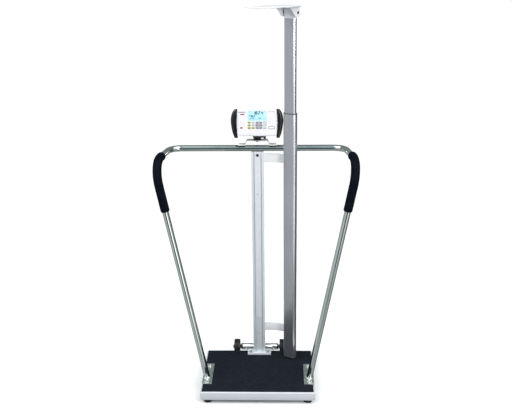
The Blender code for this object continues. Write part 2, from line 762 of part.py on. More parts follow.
def build_end_caps(display):
    """The dark cheeks at both ends: a bulging front view, cut to a fuller side view."""
    inner = DISPLAY_BODY_WIDTH / 2 + GAP
    outer = DISPLAY_WIDTH / 2
    low, high = DISPLAY_BOTTOM - 0.001, DISPLAY_TOP + 0.001
    bulge = 0.58 * (low + high)
    front_view = [
        (inner, low), (outer - 0.0145, low), (outer - 0.0085, 0.012), (outer - 0.0035, 0.032),
        (outer, bulge), (outer - 0.001, 0.078), (outer - 0.005, 0.093), (outer - 0.0105, 0.104),
        (outer - 0.0165, high), (inner, high),
    ]
    front = DISPLAY_FACE_Y - 0.002
    rear = SLOPE_HIGH[0] + 0.001
    side_view = [
        (front + 0.004, low), (SLOPE_LOW[0] - 0.001, low), (rear, SLOPE_HIGH[1] - 0.001),
        (rear, 0.095), (rear - 0.014, high), (front + 0.004, high), (front, high - 0.010),
        (front, low + 0.010),
    ]
    for side, sign in (("left", -1), ("right", 1)):
        loop = [(sign * x, z) for x, z in front_view]
        cap = turned_about(plate("display_end_cap_" + side, [loop], 0.09), math.pi / 2, "X")
        place(cap, BLACK_PLASTIC, display)
        keep_common(cap, stand_up(plate("cap_profile", [side_view], 0.25)))


def build_yoke(display):
    """The bracket under the housing: a plate in front, and two ears back to the tilt shaft."""
    under = DISPLAY_BOTTOM - GAP
    low = under - YOKE_THICKNESS
    slope = (Vector(SLOPE_HIGH) - Vector(SLOPE_LOW)).normalized()
    outward = Vector((slope.y, -slope.x)) * GAP
    slope_start = Vector(SLOPE_LOW) + outward
    slope_end = slope_start + slope * 0.0148
    side_view = [(YOKE_FRONT, low), *arc((0, 0), -low, 270, 420, 8)]
    side_view += [tuple(slope_end), tuple(slope_start), (YOKE_FRONT, under)]
    width = YOKE_RIGHT - YOKE_LEFT
    yoke = stand_up(plate("display_yoke", [side_view], width))
    moved(yoke, ((YOKE_LEFT + YOKE_RIGHT) / 2, 0, 0))
    place(yoke, BLACK_PLASTIC, display)
    neck_room = moved(box("neck_room", (2 * EAR_INNER, 0.040, 0.040)), (0, 0.0105, 0))
    knob_room = moved(box("knob_room", (0.030, 0.040, 0.040)), (EAR_OUTER + 0.015, 0.0035, 0))
    shaft_room = cylinder("shaft_room", SHAFT_RADIUS + GAP, 0.1, 16, "X")
    cut(yoke, neck_room, knob_room, shaft_room)


def build_knob(knob):
    """The tilt lock: a shaft through the yoke and neck, with a thumb knob on its right end."""
    tip = YOKE_LEFT - 0.003
    profile = [
        (0, KNOB_END), (KNOB_RADIUS - 0.0025, KNOB_END), (KNOB_RADIUS, KNOB_END - 0.0015),
        (KNOB_RADIUS, KNOB_START + 0.001), (KNOB_RADIUS - 0.002, KNOB_START), (SHAFT_RADIUS, KNOB_START),
        (SHAFT_RADIUS, tip), (0, tip),
    ]
    place(turned("tilt_knob", profile, 20), BLACK_PLASTIC, knob, rotation=(0, math.pi / 2, 0))


def build_battery(display):
    """The battery pack stands behind an opening in the rear shell, under a lid that slides down."""
    width, height = BATTERY_OPENING
    opening = moved(box("battery_opening", (width, 0.02, height)), (0, SLOPE_HIGH[0], BATTERY_Z))
    cut(bpy.data.objects["display_rear_shell"], opening)
    pack = box("battery_pack", (width - 0.004, 0.015, height - 0.004), 0.005)
    place(pack, BATTERY_BLUE, display, (0, SLOPE_HIGH[0] - DISPLAY_WALL - 0.0085, BATTERY_Z))
    lid = box("battery_lid", (width + 0.008, LID_THICKNESS, height + 0.006), 0.0006)
    place(lid, WHITE_PLASTIC, display, (0, SLOPE_HIGH[0] + GAP + LID_THICKNESS / 2, BATTERY_Z))


def build_display():
    build_bridge()
    swivel = make_empty("swivel_axis", (0, DISPLAY_PIVOT[1], BRIDGE_TOP), parent=SCALE)
    build_swivel(swivel)
    display = make_empty("tilt_axis", DISPLAY_PIVOT, (-DISPLAY_TILT, 0, 0), SCALE)
    build_rear_shell(display)
    build_front_shell(display)
    build_face(display)
    build_end_caps(display)
    build_yoke(display)
    build_battery(display)
    build_knob(display)


# ---------------------------------------------------------------- height rod


def strap_path():
    """A rod bracket's middle line on plan: a tab on the column's side, an arc, a tab on the rod."""
    side_x = COLUMN_WIDTH / 2 + GAP + STRAP_THICKNESS / 2
    corner = Vector((side_x, COLUMN_Y))
    tab = Vector((side_x, COLUMN_Y - COLUMN_DEPTH / 2 + 0.003))
    turn = -ROD_TURN
    face = Vector((math.cos(turn), -math.sin(turn)))
    back = Vector((math.sin(turn), math.cos(turn)))
    axis = Vector((ROD_X, ROD_Y))
    off_back = ROD_OUTER[1] / 2 + GAP + STRAP_THICKNESS / 2
    end = axis + back * off_back + face * 0.018
    arrive = axis + back * off_back - face * 0.022
    radius = (COLUMN_Y - arrive.y) / (1 - math.cos(turn))
    centre = (arrive.x - radius * math.sin(turn), COLUMN_Y - radius)
    sweep = arc(centre, radius, 90, 90 - math.degrees(turn), 8)
    knee = [p.to_tuple() for p in bend(tab, corner, Vector(sweep[0]), 0.004, 3)]
    return [tab.to_tuple(), *knee, *sweep, end.to_tuple()]


def build_brackets():
    for name, z in STRAP_HEIGHTS.items():
        strap = plate(name, [strip_outline(strap_path(), STRAP_THICKNESS)], STRAP_HEIGHT)
        place(strap, WHITE_STEEL, SCALE, (0, 0, z))


def rod_tube(name, section, wall, ends, parent):
    bottom, top = ends
    loops = [chamfered(*section), chamfered(*shrunk(section, wall))]
    tube = plate(name, loops, top - bottom)
    place(tube, ROD_ALUMINIUM, parent, (0, 0, (top + bottom) / 2))


def build_rod():
    rod = make_empty("rod_axis", (ROD_X, ROD_Y, 0), (0, 0, ROD_TURN), SCALE)
    rod_tube("rod_outer_tube", ROD_OUTER, ROD_OUTER_WALL, (ROD_BOTTOM, ROD_OUTER_TOP), rod)
    lip, collar_height = 0.0008, 0.004
    collar_loops = [chamfered(*shrunk(ROD_OUTER, -lip)), chamfered(*shrunk(ROD_INNER, -0.0005))]
    collar = plate("rod_collar", collar_loops, collar_height)
    place(collar, BLACK_PLASTIC, rod, (0, 0, ROD_OUTER_TOP + GAP + collar_height / 2))
    build_brackets()
    build_inner_rod(rod)
    build_head(rod)


def build_inner_rod(rod):
    bottom = ROD_INNER_TOP - ROD_INNER_LENGTH
    rod_tube("rod_inner_tube", ROD_INNER, ROD_INNER_WALL, (bottom, ROD_INNER_TOP), rod)
    guide_section = shrunk(ROD_OUTER, ROD_OUTER_WALL + 0.0004)
    guide = plate("rod_guide_shoe", [chamfered(*guide_section)], 0.020)
    place(guide, BLACK_PLASTIC, rod, (0, 0, bottom - GAP - 0.010))
    cap_height = HEAD_PIN_Z + 0.015 - ROD_INNER_TOP - GAP
    cap_outline = chamfered(ROD_OUTER[0] - 0.001, ROD_INNER[1] + 0.002, ROD_INNER[2])
    cap = plate("rod_top_cap", [cap_outline], cap_height)
    place(cap, WHITE_PLASTIC, rod, (0, 0, HEAD_PIN_Z + 0.015 - cap_height / 2))


def cheek_outline():
    """A head cheek as (depth, height) about the pin: deep at the rod, sloping up to the paddle."""
    top = HEAD_PLATE_UNDER + HEAD_PLATE_THICKNESS / 2
    return [
        (0.0165, top), (0.0165, -0.010), (0.0115, -0.0155), (-0.0165, -0.0155), (-0.0745, top),
    ]


def build_head(rod):
    """The folding headpiece: a paddle on two cheeks that straddle the rod on one pin."""
    head = make_empty("head_axis", (0, 0, HEAD_PIN_Z), (-HEAD_PITCH, 0, 0), rod)
    plate_top = HEAD_PLATE_UNDER + HEAD_PLATE_THICKNESS
    back, front = 0.018, -HEAD_REACH
    cheek_out = HEAD_CHEEK_IN + HEAD_CHEEK_WALL
    outline = [(-cheek_out, back), (-HEAD_HALF_WIDTH, -0.012)]
    corner_x, corner_y = HEAD_HALF_WIDTH - HEAD_CORNER, front + HEAD_CORNER
    outline += arc((-corner_x, corner_y), HEAD_CORNER, 180, 270, 4)
    outline += arc((corner_x, corner_y), HEAD_CORNER, 270, 360, 4)
    outline += [(HEAD_HALF_WIDTH, -0.012), (cheek_out, back)]
    headpiece = plate("headpiece", [outline], HEAD_PLATE_THICKNESS)
    moved(headpiece, (0, 0, plate_top - HEAD_PLATE_THICKNESS / 2))
    place(headpiece, WHITE_PLASTIC, head)
    hole = circle(HEAD_PIN_RADIUS + GAP, steps=12)
    for side, sign in (("left", -1), ("right", 1)):
        cheek = stand_up(plate("cheek_" + side, [cheek_outline(), hole], HEAD_CHEEK_WALL))
        join(headpiece, moved(cheek, (sign * (HEAD_CHEEK_IN + HEAD_CHEEK_WALL / 2), 0, 0)))
    pin = turned("head_pin", head_pin_profile(cheek_out), 12)
    place(pin, BLACK_PLASTIC, head, rotation=(0, math.pi / 2, 0))
    for name in ("rod_top_cap", "rod_inner_tube"):
        target = bpy.data.objects[name]
        bore = cylinder(name + "_bore", HEAD_PIN_RADIUS + GAP, 0.08, 12, "X")
        cut(target, moved(bore, (0, 0, HEAD_PIN_Z - target.location.z)))


def head_pin_profile(cheek_out):
    end = cheek_out + GAP
    return [
        (0, end + 0.002), (HEAD_PIN_HEAD * 0.7, end + 0.002), (HEAD_PIN_HEAD, end + 0.001),
        (HEAD_PIN_HEAD, end), (HEAD_PIN_RADIUS, end), (HEAD_PIN_RADIUS, -end),
        (HEAD_PIN_HEAD, -end), (HEAD_PIN_HEAD, -end - 0.001), (HEAD_PIN_HEAD * 0.7, -end - 0.002),
        (0, -end - 0.002),
    ]


# ---------------------------------------------------------------- transport wheels


def build_wheels():
    along_x = (0, math.pi / 2, 0)
    tube_end = WHEEL_X - WHEEL_HUB_WIDTH / 2 - 0.001
    rod_end = WHEEL_X + WHEEL_HUB_WIDTH / 2 + 0.003
    axle = turned(
        "wheel_axle",
        [
            (0, rod_end), (AXLE_END_RADIUS, rod_end), (AXLE_END_RADIUS, tube_end),
            (AXLE_TUBE_RADIUS, tube_end), (AXLE_TUBE_RADIUS, -tube_end),
            (AXLE_END_RADIUS, -tube_end), (AXLE_END_RADIUS, -rod_end), (0, -rod_end),
        ],
    )
    place(axle, CHROME, SCALE, (0, AXLE_Y, AXLE_Z), along_x)
    for side, sign in (("left", -1), ("right", 1)):
        build_axle_bracket(side, sign)
        half, hub, bore = WHEEL_WIDTH / 2, WHEEL_HUB_WIDTH / 2, AXLE_END_RADIUS + GAP
        web = half - 0.005
        upper = [
            (bore, hub), (WHEEL_HUB_RADIUS, hub), (WHEEL_HUB_RADIUS, web), (WHEEL_RADIUS - 0.010, web),
            (WHEEL_RADIUS - 0.008, half), (WHEEL_RADIUS - 0.003, half), (WHEEL_RADIUS, half - 0.004),
        ]
        wheel = turned("wheel_" + side, upper + [(r, -z) for r, z in reversed(upper)], 32)
        place(wheel, BLACK_RUBBER, SCALE, (sign * WHEEL_X, AXLE_Y, AXLE_Z), along_x)


def build_axle_bracket(side, sign):
    """A steel ear on the cover's rear wall, with a seat that cradles the axle from below."""
    wall_y = PLATFORM_DEPTH / 2 + GAP
    seat = [(AXLE_Y + x, AXLE_Z + z) for x, z in arc((0, 0), AXLE_TUBE_RADIUS + GAP, 180, 360, 8)]
    rim = [(AXLE_Y + x, AXLE_Z + z) for x, z in arc((0, 0), AXLE_TUBE_RADIUS + 0.005, 360, 250, 6)]
    outline = [(wall_y, AXLE_Z), *seat, *rim, (wall_y, COVER_BOTTOM + 0.003)]
    ear = stand_up(plate("axle_bracket_" + side, [outline], 0.005))
    place(ear, WHITE_STEEL, SCALE, (sign * 0.060, 0, 0))


# ---------------------------------------------------------------- build

clear_scene()
PARTS = make_collection("handrail_scale")
CUTTERS = make_collection("cutters")
WHITE_STEEL = make_material("white_steel", (0.82, 0.83, 0.84), 0.4)
DARK_STEEL = make_material("dark_steel", (0.09, 0.09, 0.10), 0.5, 0.6)
ZINC = make_material("zinc", (0.62, 0.65, 0.64), 0.35, 0.9)
CHROME = make_material("chrome", (0.80, 0.82, 0.83), 0.12, 1.0)
COLUMN_ALUMINIUM = make_material("column_aluminium", (0.66, 0.71, 0.73), 0.4, 0.5)
STRIP_GREY = make_material("strip_grey", (0.72, 0.73, 0.75), 0.45, 0.2)
ROD_ALUMINIUM = make_material("rod_aluminium", (0.42, 0.43, 0.46), 0.4, 0.7)
BARE_ALUMINIUM = make_material("bare_aluminium", (0.70, 0.71, 0.72), 0.4, 0.9)
MAT_RUBBER = make_material("mat_rubber", (0.016, 0.018, 0.024), 0.85)
BLACK_RUBBER = make_material("black_rubber", (0.012, 0.012, 0.013), 0.8)
FOAM = make_material("foam", (0.010, 0.011, 0.014), 0.95)
BLACK_PLASTIC = make_material("black_plastic", (0.014, 0.014, 0.016), 0.45)
WHITE_PLASTIC = make_material("white_plastic", (0.84, 0.84, 0.86), 0.4)
OVERLAY_WHITE = make_material("overlay_white", (0.83, 0.82, 0.83), 0.35)
LCD_BLUE = make_material("lcd_blue", (0.62, 0.85, 0.93), 0.2)
BOARD_GREEN = make_material("board_green", (0.03, 0.16, 0.07), 0.5)
BATTERY_BLUE = make_material("battery_blue", (0.05, 0.12, 0.35), 0.4)

SCALE = make_empty("scale", (0, PLATFORM_Y, 0))
build_platform()
build_base_plate()
build_column()
build_cable()
build_handrail()
build_display()
build_rod()
build_wheels()
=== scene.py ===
"""Looks for the stand-on clinical scale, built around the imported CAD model.

World units are metres and +Z is up. The display and the open side of the handrail face -Y, and the
height rod is on the +X side. Pieces are modelled at rest, in the same frame as the CAD nodes that
they stand for.
"""

import math

import bmesh
import bpy
from mathutils import Matrix, Vector, noise


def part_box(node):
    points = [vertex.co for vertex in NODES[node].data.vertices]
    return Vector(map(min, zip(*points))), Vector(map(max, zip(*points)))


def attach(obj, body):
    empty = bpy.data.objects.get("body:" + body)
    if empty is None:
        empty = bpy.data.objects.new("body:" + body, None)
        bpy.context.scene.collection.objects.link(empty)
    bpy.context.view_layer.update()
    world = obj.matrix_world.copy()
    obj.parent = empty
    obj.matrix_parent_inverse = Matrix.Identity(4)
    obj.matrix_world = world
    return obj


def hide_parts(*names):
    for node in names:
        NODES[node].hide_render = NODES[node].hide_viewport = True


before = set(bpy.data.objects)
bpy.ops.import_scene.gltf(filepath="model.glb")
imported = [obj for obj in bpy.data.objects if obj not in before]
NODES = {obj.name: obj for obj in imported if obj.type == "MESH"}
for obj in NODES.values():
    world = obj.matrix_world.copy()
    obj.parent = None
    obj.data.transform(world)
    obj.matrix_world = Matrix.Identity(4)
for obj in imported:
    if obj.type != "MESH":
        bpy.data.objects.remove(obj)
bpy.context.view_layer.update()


def low(node):
    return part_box(node)[0]


def high(node):
    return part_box(node)[1]


def middle(node):
    return (low(node) + high(node)) / 2


def extent(node):
    return high(node) - low(node)


def shift(x, y, z):
    return Matrix.Translation((x, y, z))


def over(node, height=0.0):
    """A place on a node's vertical centre line, at a height above the floor."""
    return shift(middle(node).x, middle(node).y, height)


# ---------------------------------------------------------------- driving dimensions

GAP = 0.0003                    # air that the CAD leaves between touching pieces
SCALE_Y = middle("platform_mat").y

MAT_LOW, MAT_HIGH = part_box("platform_mat")
MAT_CLEARANCE = 0.001           # air round the foot plates and the column's base plate
NOTCH_X = low("rail_plate_right").x - MAT_CLEARANCE
NOTCH_FRONT = low("rail_plate_right").y - MAT_CLEARANCE
NOTCH_REAR = high("rail_plate_right").y + MAT_CLEARANCE
BASE_X = high("column_base_plate").x + MAT_CLEARANCE
BASE_FRONT = low("column_base_plate").y - MAT_CLEARANCE

TUBE_RADIUS = 0.0127
RAIL_HEIGHT = 0.968
RAIL_FOOT = (0.210, SCALE_Y - 0.065)
RAIL_FRONT = (0.385, SCALE_Y - 0.082)
RAIL_REAR = (0.349, SCALE_Y + 0.156)
RAIL_FRONT_BEND = 0.090
RAIL_REAR_BEND = 0.055
GRIP_RADIUS = 0.018
GRIP_START, GRIP_END = 0.730, 0.995     # distances along the rail from its foot
GRIP_LENGTH, GRIP_ROUND = GRIP_END - GRIP_START, 0.006

DISPLAY_PIVOT = Vector((0, RAIL_REAR[1], 1.015))
DISPLAY_TILT = math.radians(10)
FACE_Y = -0.035                 # the display's face, measured from its tilt axis
BODY_HALF = 0.0765
BODY_LOW, BODY_HIGH = 0.0032, 0.109
BODY_BULGE = 0.0042             # how far the white sides swell into the end caps
BODY_REAR = 0.016
SLOPE_FOOT, SLOPE_HEAD = (-0.016, BODY_LOW), (BODY_REAR, 0.036)     # the sloping underside
SHELL_SPLIT = FACE_Y + 0.012
FILM_THICKNESS = 0.0008
FILM_BACK = FACE_Y - GAP
FILM_FRONT = FILM_BACK - FILM_THICKNESS
LCD_SIZE = (0.075, 0.041)
LCD_CENTRE = (0.001, 0.083)
SHAFT_RADIUS = 0.003

ROD_CENTRE = middle("rod_inner_tube")
ROD_TURN = math.radians(-30)
ROD_OUTER = (0.0535, 0.026, 0.0055)     # width, depth and chamfer
ROD_INNER = (0.0475, 0.0205, 0.0045)
STRAP_THICKNESS = 0.003
HEAD_PIN_Z = 1.502
HEAD_PITCH = math.radians(2)
UNDER_HEAD = 0.0225             # underside of the headpiece's paddle above its pin

AT_DISPLAY = shift(*DISPLAY_PIVOT) @ Matrix.Rotation(-DISPLAY_TILT, 4, "X")
AT_ROD = shift(ROD_CENTRE.x, ROD_CENTRE.y, 0) @ Matrix.Rotation(ROD_TURN, 4, "Z")
AT_HEAD = AT_ROD @ shift(0, 0, HEAD_PIN_Z) @ Matrix.Rotation(-HEAD_PITCH, 4, "X")
IN_PLACE = Matrix.Identity(4)
ALONG_X = Matrix.Rotation(math.pi / 2, 4, "Y")
FACING_FRONT = Matrix.Rotation(math.pi / 2, 4, "X")
STAND_UP = Matrix(((0, 0, 1, 0), (1, 0, 0, 0), (0, 1, 0, 0), (0, 0, 0, 1)))

# ---------------------------------------------------------------- node materials

EVEN = (1, 1, 1)


def new_node(tree, kind, **values):
    """A shader node with some of its inputs set, _ standing for each space in an input's name."""
    node = tree.nodes.new("ShaderNode" + kind)
    for socket, value in values.items():
        node.inputs[socket.replace("_", " ")].default_value = value
    return node


def base_material(name, colour, roughness, metallic=0.0, **sockets):
    material = bpy.data.materials.new(name)
    material.use_nodes = True
    sockets.update(Base_Color=(*colour, 1), Roughness=roughness, Metallic=metallic)
    for socket, value in sockets.items():
        shader_of(material).inputs[socket.replace("_", " ")].default_value = value
    return material


def shader_of(material):
    return material.node_tree.nodes["Principled BSDF"]


def scaled(colour, by):
    return tuple(min(1, c * by) for c in colour)


def noise_value(material, scale, stretch, detail=3.0):
    """A noise texture in the object's own coordinates."""
    tree = material.node_tree
    place = new_node(tree, "TexCoord")
    mapping = new_node(tree, "Mapping", Scale=stretch)
    texture = new_node(tree, "TexNoise", Scale=scale, Detail=detail)
    tree.links.new(place.outputs["Object"], mapping.inputs["Vector"])
    tree.links.new(mapping.outputs["Vector"], texture.inputs["Vector"])
    return texture.outputs["Fac"]


def spread(material, source, start, end, least, most):
    """Maps a texture's value from start..end to least..most."""
    tree = material.node_tree
    ramp = new_node(tree, "MapRange", From_Min=start, From_Max=end, To_Min=least, To_Max=most)
    tree.links.new(source, ramp.inputs["Value"])
    return ramp.outputs["Result"]


def mixed(tree, share, before, colour):
    """Mixes a colour over the one before it, which is a socket or a colour with alpha."""
    mix = new_node(tree, "Mix")
    mix.data_type = "RGBA"
    mix.inputs["B"].default_value = (*colour, 1)
    tree.links.new(share, mix.inputs["Factor"])
    if isinstance(before, bpy.types.NodeSocket):
        tree.links.new(before, mix.inputs["A"])
    else:
        mix.inputs["A"].default_value = before
    return mix.outputs["Result"]


def mottle(material, other, scale, stretch=EVEN, start=0.35, end=0.65, detail=4.0):
    """Drifts the base colour towards another colour in soft patches or streaks."""
    tree, base = material.node_tree, shader_of(material).inputs["Base Color"]
    before = base.links[0].from_socket if base.is_linked else base.default_value
    share = spread(material, noise_value(material, scale, stretch, detail), start, end, 0, 1)
    tree.links.new(mixed(tree, share, before, other), base)


def gloss_drift(material, rough_low, rough_high, scale, stretch=EVEN):
    value = spread(material, noise_value(material, scale, stretch), 0.3, 0.7, rough_low, rough_high)
    material.node_tree.links.new(value, shader_of(material).inputs["Roughness"])


def relief(material, source, height):
    """Adds a height, in metres, to the surface's bump. Each call stacks on the last."""
    tree, normal = material.node_tree, shader_of(material).inputs["Normal"]
    bump = new_node(tree, "Bump", Strength=1.0, Distance=height)
    tree.links.new(source, bump.inputs["Height"])
    if normal.is_linked:
        tree.links.new(normal.links[0].from_socket, bump.inputs["Normal"])
    tree.links.new(bump.outputs["Normal"], normal)


def grain(material, scale, height, stretch=EVEN):
    relief(material, noise_value(material, scale, stretch), height)


def cells(material, scale, height):
    """A foamed surface: rounded cells with soft valleys."""
    tree = material.node_tree
    texture = new_node(tree, "TexVoronoi", Scale=scale)
    texture.feature = "SMOOTH_F1"
    tree.links.new(new_node(tree, "TexCoord").outputs["Object"], texture.inputs["Vector"])
    relief(material, texture.outputs["Distance"], height)


def scuffs(material, colour, scale, amount):
    """Sparse worn or dusty marks, more of them the higher amount is."""
    mottle(material, colour, scale, EVEN, 0.72 - amount, 0.80 - amount, 8.0)


def powder_coat(name, colour):
    material = base_material(name, colour, 0.38, Coat_Weight=0.12, Coat_Roughness=0.25)
    mottle(material, scaled(colour, 0.955), 9)
    scuffs(material, scaled(colour, 0.80), 60, 0.0)
    gloss_drift(material, 0.32, 0.46, 40)
    grain(material, 900, 0.00004)
    grain(material, 160, 0.00003)
    return material


def polished_chrome(name):
    material = base_material(name, (0.62, 0.655, 0.645), 0.07, 1.0)
    mottle(material, (0.53, 0.57, 0.56), 14, (1, 1, 0.4))
    gloss_drift(material, 0.05, 0.12, 55, (1, 1, 0.3))
    grain(material, 700, 0.000004, (1, 1, 0.15))
    grain(material, 12, 0.00004)
    return material


def brushed(name, colour, roughness, metallic, along, line_scale=1500):
    """Drawn or extruded metal: fine lines that run along one axis."""
    stretch = tuple(0.006 if axis == along else 1.0 for axis in "XYZ")
    material = base_material(name, colour, roughness, metallic, Anisotropic=0.3)
    mottle(material, scaled(colour, 0.88), line_scale * 0.25, stretch)
    mottle(material, scaled(colour, 1.06), 7, (1, 1, 0.5), 0.45, 0.75)
    gloss_drift(material, roughness * 0.85, roughness * 1.2, line_scale * 0.3, stretch)
    grain(material, line_scale, 0.000012, stretch)
    return material


def zinc_plate(name):
    material = base_material(name, (0.58, 0.61, 0.60), 0.30, 0.95)
    mottle(material, (0.46, 0.50, 0.49), 85, EVEN, 0.40, 0.62)
    mottle(material, (0.70, 0.71, 0.66), 30, EVEN, 0.55, 0.75)
    gloss_drift(material, 0.22, 0.44, 120)
    grain(material, 500, 0.00002)
    return material


def moulded(name, colour, roughness, speck, coat=0.0):
    """Injection-moulded plastic with a fine spark-eroded grain."""
    material = base_material(name, colour, roughness, Coat_Weight=coat, Coat_Roughness=0.12)
    mottle(material, speck, 18)
    gloss_drift(material, roughness * 0.85, roughness * 1.2, 70)
    grain(material, 1400, 0.000018)
    grain(material, 45, 0.00002)
    return material


def soft_rubber(name, colour, roughness, dust, shine):
    material = base_material(name, colour, roughness, Specular_IOR_Level=shine)
    mottle(material, dust, 26, EVEN, 0.45, 0.75)
    scuffs(material, scaled(dust, 2.2), 90, 0.02)
    gloss_drift(material, roughness * 0.85, roughness * 1.15, 60)
    grain(material, 1100, 0.00004)
    return material


def foam_skin(name):
    material = base_material(name, (0.0022, 0.0034, 0.0066), 0.80, Specular_IOR_Level=0.03)
    mottle(material, (0.0040, 0.0058, 0.0105), 35)
    cells(material, 900, 0.00010)
    cells(material, 320, 0.00008)
    grain(material, 55, 0.0002)
    return material


def printed_film(name, colour):
    material = base_material(name, colour, 0.33, Coat_Weight=0.15, Coat_Roughness=0.2)
    mottle(material, scaled(colour, 0.95), 40)
    grain(material, 2200, 0.000010)
    return material


def lit_panel(name):
    material = base_material(
        name, (0.34, 0.60, 0.72), 0.32, Coat_Weight=0.05, Coat_Roughness=0.1,
        Emission_Color=(0.40, 0.75, 0.92, 1), Emission_Strength=0.18,
    )
    mottle(material, (0.39, 0.64, 0.75), 30)
    grain(material, 3000, 0.000004)
    return material


def segment_ink(name):
    material = base_material(name, (0.012, 0.014, 0.022), 0.25)
    mottle(material, (0.020, 0.024, 0.036), 300)
    return material


def circuit_board(name):
    material = base_material(name, (0.02, 0.12, 0.05), 0.35)
    mottle(material, (0.05, 0.22, 0.09), 240, (1, 1, 0.2), 0.48, 0.52)
    grain(material, 240, 0.00005, (1, 1, 0.2))
    return material


# Painted shade: the platform's white paint is darkened to the grey that its shaded walls show, and the
# base plate and axle ears use it too. bright_powder_coat is the same white paint without the painted
# shade.
WHITE_STEEL_PAINTED_SHADE = powder_coat("white_powder_coat_painted_shade", (0.55, 0.575, 0.605))
STRAP_STEEL = powder_coat("bright_powder_coat", (0.80, 0.805, 0.82))
DARK_STEEL = powder_coat("black_powder_coat", (0.035, 0.036, 0.040))
CHROME = polished_chrome("polished_chrome")
ZINC = zinc_plate("zinc_plate")
COLUMN_METAL = brushed("column_anodised", (0.74, 0.785, 0.815), 0.38, 0.35, "Z")
ROD_METAL = brushed("rod_anodised", (0.46, 0.475, 0.505), 0.30, 0.85, "Z")
CELL_METAL = brushed("milled_aluminium", (0.70, 0.71, 0.72), 0.35, 0.9, "X")
STRIP_FILM = printed_film("strip_inlay", (0.62, 0.635, 0.665))
WHITE_PLASTIC = moulded("white_plastic", (0.80, 0.80, 0.835), 0.36, (0.77, 0.77, 0.80), 0.1)
BLACK_PLASTIC = moulded("black_plastic", (0.006, 0.006, 0.008), 0.40, (0.011, 0.011, 0.013))
COLLAR_PLASTIC = moulded("grey_plastic", (0.085, 0.088, 0.095), 0.45, (0.11, 0.11, 0.12))
GLOSS_BLACK = moulded(
    "gloss_black_plastic", (0.004, 0.004, 0.006), 0.20, (0.008, 0.008, 0.010), 0.1
)
MAT_RUBBER = soft_rubber(
    "mat_rubber", (0.0068, 0.0100, 0.0160), 0.74, (0.0095, 0.0130, 0.0195), 0.10
)
BLACK_RUBBER = soft_rubber("black_rubber", (0.006, 0.006, 0.008), 0.48, (0.010, 0.010, 0.012), 0.35)
FOAM = foam_skin("grip_foam")
OVERLAY_FILM = printed_film("overlay_film", (0.73, 0.71, 0.76))
KEY_YELLOW = printed_film("key_yellow", (0.30, 0.27, 0.008))
KEY_GREY = printed_film("key_grey", (0.22, 0.22, 0.24))
KEY_BLOCK = printed_film("key_block", (0.40, 0.40, 0.43))
KEY_TEAL = printed_film("key_teal", (0.035, 0.11, 0.12))
INK_DARK = printed_film("ink_dark", (0.05, 0.045, 0.05))
INK_RED = printed_film("ink_red", (0.34, 0.012, 0.012))
LCD_GLASS = lit_panel("lcd_glass")
LCD_INK = segment_ink("lcd_segment")
BOARD = circuit_board("circuit_board")
BATTERY_WRAP = printed_film("battery_wrap", (0.04, 0.10, 0.32))

# ---------------------------------------------------------------- outlines and paths


def arc(centre, radius, start, end, steps):
    """Points on an arc, with its angles in degrees."""
    angles = [math.radians(start + (end - start) * i / steps) for i in range(steps + 1)]
    return [(centre[0] + radius * math.cos(a), centre[1] + radius * math.sin(a)) for a in angles]


def rounded_rectangle(width, depth, radius, centre=(0, 0), steps=6):
    points = []
    for i, (sx, sy) in enumerate(((1, 1), (-1, 1), (-1, -1), (1, -1))):
        corner = (centre[0] + sx * (width / 2 - radius), centre[1] + sy * (depth / 2 - radius))
        points += arc(corner, radius, 90 * i, 90 * (i + 1), steps)
    return points


def bend(start, corner, end, radius, steps):
    """Points of the arc that rounds a corner between two straight runs, in 2D or 3D."""
    start, corner, end = Vector(start), Vector(corner), Vector(end)
    back, ahead = (start - corner).normalized(), (end - corner).normalized()
    half = back.angle(ahead) / 2
    centre = corner + (back + ahead).normalized() * radius / math.sin(half)
    first = corner + back * radius / math.tan(half) - centre
    last = corner + ahead * radius / math.tan(half) - centre
    return [centre + first.slerp(last, i / steps) * radius for i in range(steps + 1)]


def filleted(points, radius, steps=4):
    """A closed outline with every corner rounded."""
    found = []
    for i, corner in enumerate(points):
        found += bend(points[i - 1], corner, points[(i + 1) % len(points)], radius, steps)
    return found


def chamfered(width, depth, chamfer):
    x, y, c = width / 2, depth / 2, chamfer
    return [
        (-x + c, -y), (x - c, -y), (x, -y + c), (x, y - c),
        (x - c, y), (-x + c, y), (-x, y - c), (-x, -y + c),
    ]


def shrunk(section, wall):
    """A chamfered section with a wall taken off every face."""
    width, depth, chamfer = section
    return chamfered(width - 2 * wall, depth - 2 * wall, chamfer - wall * (2 - math.sqrt(2)))


def both_sides(half):
    """An outline whose left side mirrors its right side."""
    return half + [(-x, y) for x, y in reversed(half)]


def both_ends(half):
    """A turned profile whose lower half mirrors its upper half."""
    return half + [(radius, -height) for radius, height in reversed(half)]


def directions(path):
    """The direction of travel at each point of a path."""
    padded = [path[0], *path, path[-1]]
    return [(after - before).normalized() for before, after in zip(padded, padded[2:])]


def ribbon(path, thickness):
    """A closed outline round a flat path, half the thickness to each side."""
    left, right = [], []
    for point, along in zip(path, directions(path)):
        side = Vector((-along.y, along.x)) * thickness / 2
        left.append(point + side)
        right.append(point - side)
    return left + right[::-1]


def point_along(path, distance):
    for a, b in zip(path, path[1:]):
        step = (b - a).length
        if distance < step:
            return a.lerp(b, distance / step)
        distance -= step
    return path[-1]


def mirrored(points):
    return [Vector((-p.x, p.y, p.z)) for p in points]


def straight_between(table, at):
    """Reads straight lines through (place, value) pairs at one place."""
    for (a, va), (b, vb) in zip(table, table[1:]):
        if at <= b:
            return va + (vb - va) * max(0.0, (at - a) / (b - a))
    return table[-1][1]


